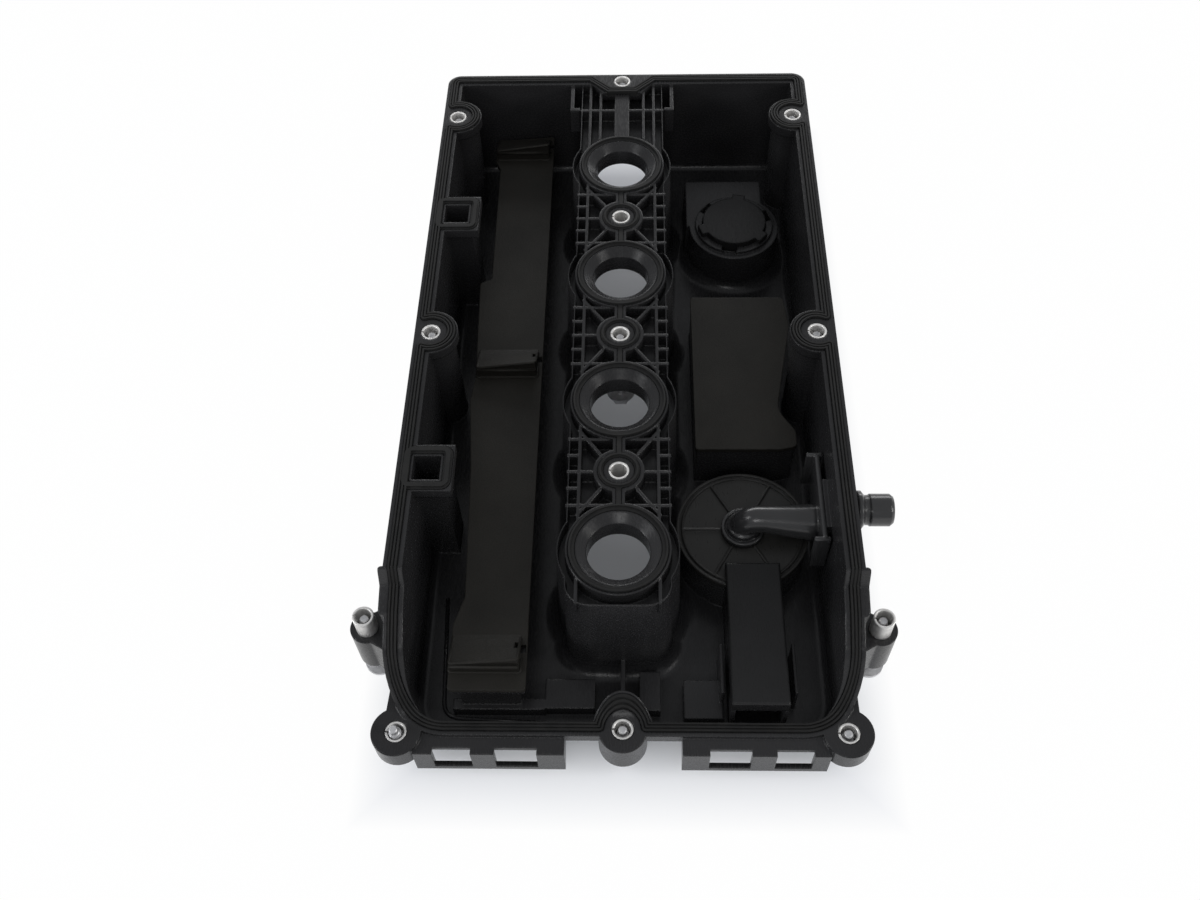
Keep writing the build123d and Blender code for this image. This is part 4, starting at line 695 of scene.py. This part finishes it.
@dataclass
class BreatherElbow:
    """The elbow that carries the breather from the valve cover to the side wall.

    A turned collar stands on the valve cover, a pipe rises from it, bends level and widens
    towards a plate with two fins. It keeps the place and reach of its solid.
    """

    shelf: PaintShelf
    node: str = "breather_elbow"
    middle: tuple[float, float] = (0.05845, -0.09415)
    carrier: str = "breather_cover"
    carrier_rib: float = 0.0010
    pipe_rise: float = 0.0105
    collar_radius: float = 0.0109
    collar_inner: float = 0.0093
    collar_height: float = 0.0034
    groove_radius: float = 0.0088
    groove_floor: float = 0.0022
    step_radius: float = 0.0081
    step_height: float = 0.0052
    collar_top: float = 0.0060
    collar_rounding: float = 0.0004
    pipe_start: float = 0.0068
    pipe_end: float = 0.0096
    bend: float = 0.0072
    sink: float = 1.2
    plate_x: tuple[float, float] = (0.09455, 0.09705)
    fin_x: tuple[float, float] = (0.09055, 0.09855)
    fin_half: float = 0.0012
    rounding: float = 0.0006
    rounding_steps: int = 6
    bend_steps: int = 14
    run_steps: int = 10
    columns: int = 40

    def collar(self, floor: float) -> Array:
        """Turn the collar: a rounded outer rim, a groove and an inner step round the pipe.

        Args:
            floor: height of the valve cover's face.

        Returns:
            Rows along the profile by columns by 3.
        """
        corners = [(self.collar_radius, 0.0, 0.0), (self.collar_radius, 0.0, self.collar_height),
                   (self.collar_inner, 0.0, self.collar_height), (self.groove_radius, 0.0, self.groove_floor),
                   (self.step_radius, 0.0, self.groove_floor), (self.step_radius, 0.0, self.step_height),
                   (self.pipe_start, 0.0, self.collar_top)]
        line = round_corners(corners, self.collar_rounding, self.rounding_steps)[:, [0, 2]]
        profile = np.concatenate([[[0.0, 0.0]], line, [[0.0, self.collar_top]]])
        return turned((*self.middle, floor), profile)

    def pipe(self, floor: float, level: float) -> Array:
        """Sweep the pipe: up, a quarter circle, then level to the plate, widening as it goes.

        Args:
            floor: height of the valve cover's face.
            level: height of the level run's axis at the bend.

        Returns:
            Rows along the pipe by columns by 3.
        """
        x, y = self.middle
        turn = np.linspace(0, pi / 2, self.bend_steps)
        bend_x = x + self.bend * (1 - np.cos(turn))
        bend_z = level - self.bend * (1 - np.sin(turn))
        run_x = np.linspace(x + self.bend, self.plate_x[0], self.run_steps)[1:]
        share = (run_x - run_x[0]) / (run_x[-1] - run_x[0])
        growth = self.pipe_end - self.pipe_start
        across = np.concatenate([[x], bend_x, run_x])
        height = np.concatenate([[floor], bend_z, level - share * growth * self.sink])
        path = np.stack([across, np.full_like(across, y), height], axis=-1)
        even = np.full(len(turn) + 1, self.pipe_start)
        radii = np.concatenate([even, self.pipe_start + share * growth])
        return tube(path, radii, (0.0, 1.0, 0.0), self.columns)

    def dress(self) -> None:
        """Build the elbow in place of its solid."""
        low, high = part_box(self.node)
        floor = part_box(self.carrier)[1].z - self.carrier_rib
        near, far = low.y + self.fin_half, high.y - self.fin_half
        grids = [self.collar(floor), self.pipe(floor, floor + self.pipe_rise)]
        grids.append(soft_box((self.plate_x[0], near, low.z), (self.plate_x[1], far, high.z), self.rounding))
        for y in (near, far):
            front = (self.fin_x[0], y - self.fin_half, low.z)
            back = (self.fin_x[1], y + self.fin_half, high.z)
            grids.append(soft_box(front, back, self.rounding))
        elbow = joined_piece("elbow", grids, self.shelf.pipe)
        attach(elbow, "cover")
        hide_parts(self.node)


@dataclass
class ScoopLips:
    """Rounded lips of the three oil scoops on the left separator plate.

    Each scoop has three lips that follow its front: one on the hood's edge, which rises
    towards the plug wells, one on the ledge below it and one at its foot.
    """

    shelf: PaintShelf
    fronts: tuple[float, ...] = (-0.17665, -0.00265, 0.17085)
    left: float = -0.08205
    right: float = -0.05005
    base: float = 0.0480
    ledge: float = 0.0012
    length: float = 0.0190
    low_rise: float = 0.0062
    high_rise: float = 0.0110
    step_rise: float = 0.0058
    lip: float = 0.0008
    hood_stop: tuple[float, float] = (0.003, 0.002)
    hood_set: float = 0.4
    hood_sunk: float = 0.5
    edge_sunk: float = 0.3
    foot_spread: float = 0.0006
    foot_share: float = 0.35
    reach: float = 0.0014
    columns: int = 16

    def lips(self, front: float) -> list[Array]:
        """Sweep the three lips of one scoop, each sunk by a share of its radius.

        Args:
            front: Y of the scoop's foot.

        Returns:
            One closed grid for each lip.
        """
        back = front + self.length
        hood = front + self.ledge + self.lip * self.hood_set
        low = self.base + self.low_rise - self.lip * self.hood_sunk
        high = self.base + self.high_rise - self.lip * self.hood_sunk
        step = self.base + self.step_rise - self.lip * self.edge_sunk
        foot = front - self.lip * self.edge_sunk
        foot_end = front + self.length * self.foot_share
        foot_left, foot_right = self.left - self.foot_spread, self.right + self.foot_spread
        paths = [
            [(self.left, back - self.hood_stop[0], self.base), (self.left, hood, low),
             (self.right, hood, high), (self.right, back - self.hood_stop[1], self.base)],
            [(self.left, front, step), (self.right, front, step)],
            [(foot_left, foot_end, self.base), (foot_left, foot, self.base),
             (foot_right, foot, self.base), (foot_right, foot_end, self.base)],
        ]
        return [tube(round_corners(path, self.reach), self.lip, UP, self.columns) for path in paths]

    def dress(self) -> None:
        """Build the lips of every scoop."""
        for number, front in enumerate(self.fronts, start=1):
            piece = joined_piece(f"scoop_lips_{number}", self.lips(front), self.shelf.baffle)
            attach(piece, "cover")


@dataclass
class FloorRidge:
    """Raised bead on the inner floor, round the front of the left separator's chamber."""

    shelf: PaintShelf
    height: float = 0.0150
    radius: float = 0.0011
    corners: tuple[tuple[float, float], ...] = ((-0.0922, -0.122), (-0.0885, -0.1858), (-0.036, -0.1888))
    reach: float = 0.008
    columns: int = 16

    def dress(self) -> None:
        """Build the bead."""
        path = round_corners([(x, y, self.height) for x, y in self.corners], self.reach)
        grid = tube(path, self.radius, UP, self.columns)
        bead = joined_piece("floor_ridge", [grid], self.shelf.nylon)
        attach(bead, "cover")


@dataclass
class ValveSpring:
    """Coil spring of the pressure valve, wound once to the height of its solid and fixed to the cover."""

    shelf: PaintShelf
    node: str = "pcv_spring"
    joint: str = "pressure_valve_slide"
    turns: float = 3.0
    wire: float = 0.0007
    steps_per_turn: int = 40
    columns: int = 12

    def dress(self) -> None:
        """Wind the spring in place of its solid.

        With a = 2 pi times the turns, the wire's middle is at (R cos a, R sin a) round the
        coil's axis and climbs evenly from the plate to the cover's seat.
        """
        low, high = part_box(self.node)
        middle = (low + high) / 2
        radius = (high.x - low.x) / 2 - self.wire
        share = np.linspace(0.0, 1.0, int(self.turns * self.steps_per_turn) + 1)
        angle = 2 * pi * self.turns * share
        climb = low.z + self.wire + share * (high.z - low.z - 2 * self.wire)
        across, along = middle.x + radius * np.cos(angle), middle.y + radius * np.sin(angle)
        path = np.stack([across, along, climb], axis=-1)
        grid = tube(path, self.wire, UP, self.columns)
        coil = joined_piece("valve_spring", [grid], self.shelf.spring)
        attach(coil, "cover")
        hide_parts(self.node)
        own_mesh(coil)


@dataclass
class Seals:
    """Rubber seals of the cover, the plug wells, the filler cap and the pressure valve."""

    shelf: PaintShelf
    nodes: tuple[str, ...] = ("perimeter_gasket", "plug_well_gasket", "filler_cap_seal", "pcv_diaphragm")

    def dress(self) -> None:
        """Finish every seal in rubber."""
        dress(self.shelf.rubber, *self.nodes)


@dataclass
class FillerCap:
    """Bayonet cap of the oil filler."""

    shelf: PaintShelf
    node: str = "oil_filler_cap"

    def dress(self) -> None:
        """Finish the cap in the trim's matt nylon."""
        dress(self.shelf.trim, self.node)


@dataclass
class RolledThread:
    """One raised thread wound round a screw's shank.

    The ridge sits on the shank's solid, which stays in the hollow between its turns.
    """

    pitch: float = 0.0010
    base_radius: float = 0.00258
    crest_radius: float = 0.00295
    base_half: float = 0.00044
    crest_half: float = 0.00007
    steps_per_turn: int = 28

    def surface(self, foot: Vector, axis: Vector, start: float, end: float) -> Array:
        """Work out the ridge.

        The first parameter u runs along the helix and the second picks one of four corners of the
        ridge's section. With turn angle a = 2 pi u / pitch, a corner lies at height u plus its own
        offset and at its own radius, turned by a round the axis. Both offset and radius shrink to
        the base line at the two ends as the smaller of 1 and the distance to the end in half turns.

        Args:
            foot: point of the axis from which heights are measured.
            axis: unit direction of the screw, from head to tip.
            start: height where the thread begins.
            end: height where it runs out.

        Returns:
            Rows along the helix by four corners by 3.
        """
        turns = (end - start) / self.pitch
        rise = np.linspace(start, end, int(turns * self.steps_per_turn) + 1)
        angle = 2 * pi * (rise - start) / self.pitch
        fade = np.clip(np.minimum(rise - start, end - rise) / (self.pitch / 2), 0.0, 1.0)
        offset = np.array([-self.base_half, -self.crest_half, self.crest_half, self.base_half])
        swell = np.array([0.0, 1.0, 1.0, 0.0]) * (self.crest_radius - self.base_radius)
        height = rise[:, None] + fade[:, None] * offset
        radius = self.base_radius + fade[:, None] * swell
        side = np.array(axis.orthogonal().normalized())
        other = np.cross(np.array(axis), side)
        around = np.cos(angle)[:, None, None] * side + np.sin(angle)[:, None, None] * other
        return np.array(foot) + height[:, :, None] * np.array(axis) + radius[:, :, None] * around


@dataclass
class Fasteners:
    """Compression sleeves and captive screws, with rolled threads on the screws."""

    shelf: PaintShelf
    sleeve_count: int = 13
    screw_count: int = 11
    point_length: float = 0.0037
    bead_top: float = 0.0043
    thread: RolledThread = field(default_factory=RolledThread)

    def wind_thread(self, number: int) -> bpy.types.Object:
        """Wind the thread of one screw, from above its retaining bead to below its plain point.

        Args:
            number: the screw's number. The first and third sleeves hold no screw, so screw 1 stands
                in sleeve 2 and every later screw in the sleeve two numbers further on.

        Returns:
            The thread.
        """
        joint = next(j for j in frame["joints"] if j["child"] == f"captive_screw_{number:02d}")
        axis = Vector(joint["axis"]).normalized()
        sleeve_low, sleeve_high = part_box(f"sleeve_{number + (1 if number == 1 else 2):02d}")
        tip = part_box(f"screw_{number:02d}")[1].z
        foot = (sleeve_low + sleeve_high) / 2
        foot.z = sleeve_low.z
        proud = max(0.0, tip - sleeve_high.z)
        reach = (tip - foot.z) / axis.z
        points = self.thread.surface(foot, axis, self.bead_top + proud, reach - self.point_length)
        name = f"thread_{number:02d}"
        ridge = grid_piece(name, points, True, self.shelf.screw)
        weld_poles(ridge)
        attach(ridge, joint["child"])
        return ridge

    def dress(self) -> None:
        """Finish sleeves and screws in their own steels, and wind the threads."""
        dress(self.shelf.sleeve, *[f"sleeve_{n:02d}" for n in range(1, self.sleeve_count + 1)])
        dress(self.shelf.screw, *[f"screw_{n:02d}" for n in range(1, self.screw_count + 1)])
        for number in range(1, self.screw_count + 1):
            self.wind_thread(number)


# ---------------------------------------------------------------- studio
@dataclass(frozen=True)
class SoftLamp:
    """One rectangular soft light: its middle, its width and height, its watts and its colour."""

    name: str
    place: Point
    size: tuple[float, float]
    power: float
    tone: Rgb = WHITE

    def hang(self, aim: Point) -> None:
        """Hang the light and face it to a point.

        Args:
            aim: the point.
        """
        data = bpy.data.lights.new(self.name, "AREA")
        data.shape = "RECTANGLE"
        data.size, data.size_y = self.size
        data.energy = self.power
        data.color = self.tone
        lamp = bpy.data.objects.new(self.name, data)
        view = Vector(aim) - Vector(self.place)
        lamp.rotation_euler = view.to_track_quat("-Z", "Y").to_euler()
        lamp.location = self.place
        bpy.context.scene.collection.objects.link(lamp)


@dataclass
class Studio:
    """Camera, soft lights, pale surroundings and floor."""

    eye: Point = (0.00339, -0.402121, 0.557332)
    pitch: float = 55.418
    yaw: float = -2.892
    roll: float = 2.385
    lens: float = 35.4558
    sensor: float = 36.0
    near_clip: float = 0.01
    aim: Point = (0.0, 0.0, 0.04)
    lamps: tuple[SoftLamp, ...] = (
        SoftLamp("front_bank", (-0.10, -1.0, 1.05), (0.45, 0.3), 1.7),
        SoftLamp("left_bank", (-1.25, -0.42, 0.58), (0.35, 0.35), 5.5, (0.97, 0.98, 1.0)),
        SoftLamp("right_bank", (1.25, -0.42, 0.58), (0.35, 0.35), 5.5, (1.0, 0.99, 0.97)),
        SoftLamp("far_strip", (0.05, 1.35, 0.50), (1.7, 0.36), 8.0),
        SoftLamp("high_left", (-0.85, -0.25, 1.15), (0.3, 0.3), 1.2, (0.98, 0.99, 1.0)),
        SoftLamp("high_right", (0.85, -0.25, 1.15), (0.3, 0.3), 1.2, (1.0, 0.99, 0.98)),
    )
    floor_half: float = 3.0
    tent_side: float = 0.48
    tent_top: float = 0.42
    tent_fall: tuple[float, float] = (0.50, 0.72)
    tent_tone: Rgb = (0.95, 0.97, 1.0)

    def set_camera(self) -> None:
        """Create the camera and aim it.

        The view line is tipped down by the pitch and turned by the yaw, and the camera is then
        turned about that line by the roll.
        """
        tip, turn, lean = radians(self.pitch), radians(self.yaw), radians(self.roll)
        forward = Vector((sin(turn) * cos(tip), cos(turn) * cos(tip), -sin(tip)))
        level_right = Vector((cos(turn), -sin(turn), 0.0))
        level_down = forward.cross(level_right)
        right = level_right * cos(lean) + level_down * sin(lean)
        down = level_down * cos(lean) - level_right * sin(lean)
        data = bpy.data.cameras.new("camera")
        data.sensor_width = self.sensor
        data.lens = self.lens
        data.clip_start = self.near_clip
        camera = bpy.data.objects.new("camera", data)
        axes = Matrix((right, -down, -forward)).transposed().to_4x4()
        camera.matrix_world = Matrix.Translation(self.eye) @ axes
        bpy.context.scene.collection.objects.link(camera)
        bpy.context.scene.camera = camera

    def hang_tent(self) -> None:
        """Set the pale surroundings: a tent with bright sides and a dim top.

        Its strength depends on the height z of a unit direction alone: full between the
        horizon and about a third of the way up, then falling to the dim top.
        """
        desk = NodeDesk(bpy.data.worlds.new("surroundings"))
        desk.material.use_nodes = True
        desk.material.node_tree.nodes.clear()
        direction = desk.add("ShaderNodeTexCoord")
        parts = desk.add("ShaderNodeSeparateXYZ")
        desk.wire(direction.outputs["Generated"], parts.inputs[0])
        level = desk.span(parts.outputs["Z"], self.tent_side, self.tent_top, *self.tent_fall)
        path = desk.add("ShaderNodeLightPath")
        mix = desk.add("ShaderNodeMixShader")
        dim = desk.add("ShaderNodeBackground", Color=(*self.tent_tone, 1.0))
        bright = desk.add("ShaderNodeBackground", Color=(*WHITE, 1.0))
        output = desk.add("ShaderNodeOutputWorld")
        desk.wire(level, dim.inputs["Strength"])
        desk.wire(path.outputs["Is Camera Ray"], mix.inputs[0])
        desk.wire(dim.outputs[0], mix.inputs[1])
        desk.wire(bright.outputs[0], mix.inputs[2])
        desk.wire(mix.outputs[0], output.inputs["Surface"])
        bpy.context.scene.world = desk.material

    def lay_floor(self) -> None:
        """Lay the floor: a flat grid whose height is zero everywhere."""
        reach = np.linspace(-self.floor_half, self.floor_half, 3)
        across, along = np.meshgrid(reach, reach)
        points = np.stack([across, along, np.zeros_like(across)], axis=-1)
        floor = grid_piece("studio_floor", points, False, PaleFloor().make())

    def build(self) -> None:
        """Set up the whole studio."""
        self.set_camera()
        for lamp in self.lamps:
            lamp.hang(self.aim)
        self.hang_tent()
        self.lay_floor()
        bpy.context.scene.view_settings.view_transform = "Standard"


def main() -> None:
    """Build the sub-assemblies in order and report each."""
    logging.basicConfig(level=logging.INFO, format="%(message)s")
    shelf = PaintShelf()
    for part in (CoverMoulding(shelf), BreatherElbow(shelf), ScoopLips(shelf), FloorRidge(shelf),
                 ValveSpring(shelf), Seals(shelf), FillerCap(shelf), Fasteners(shelf)):
        part.dress()
        LOG.info("dressed %s", type(part).__name__)
    Studio().build()
    LOG.info("studio ready")


if __name__ == "__main__":
    main()
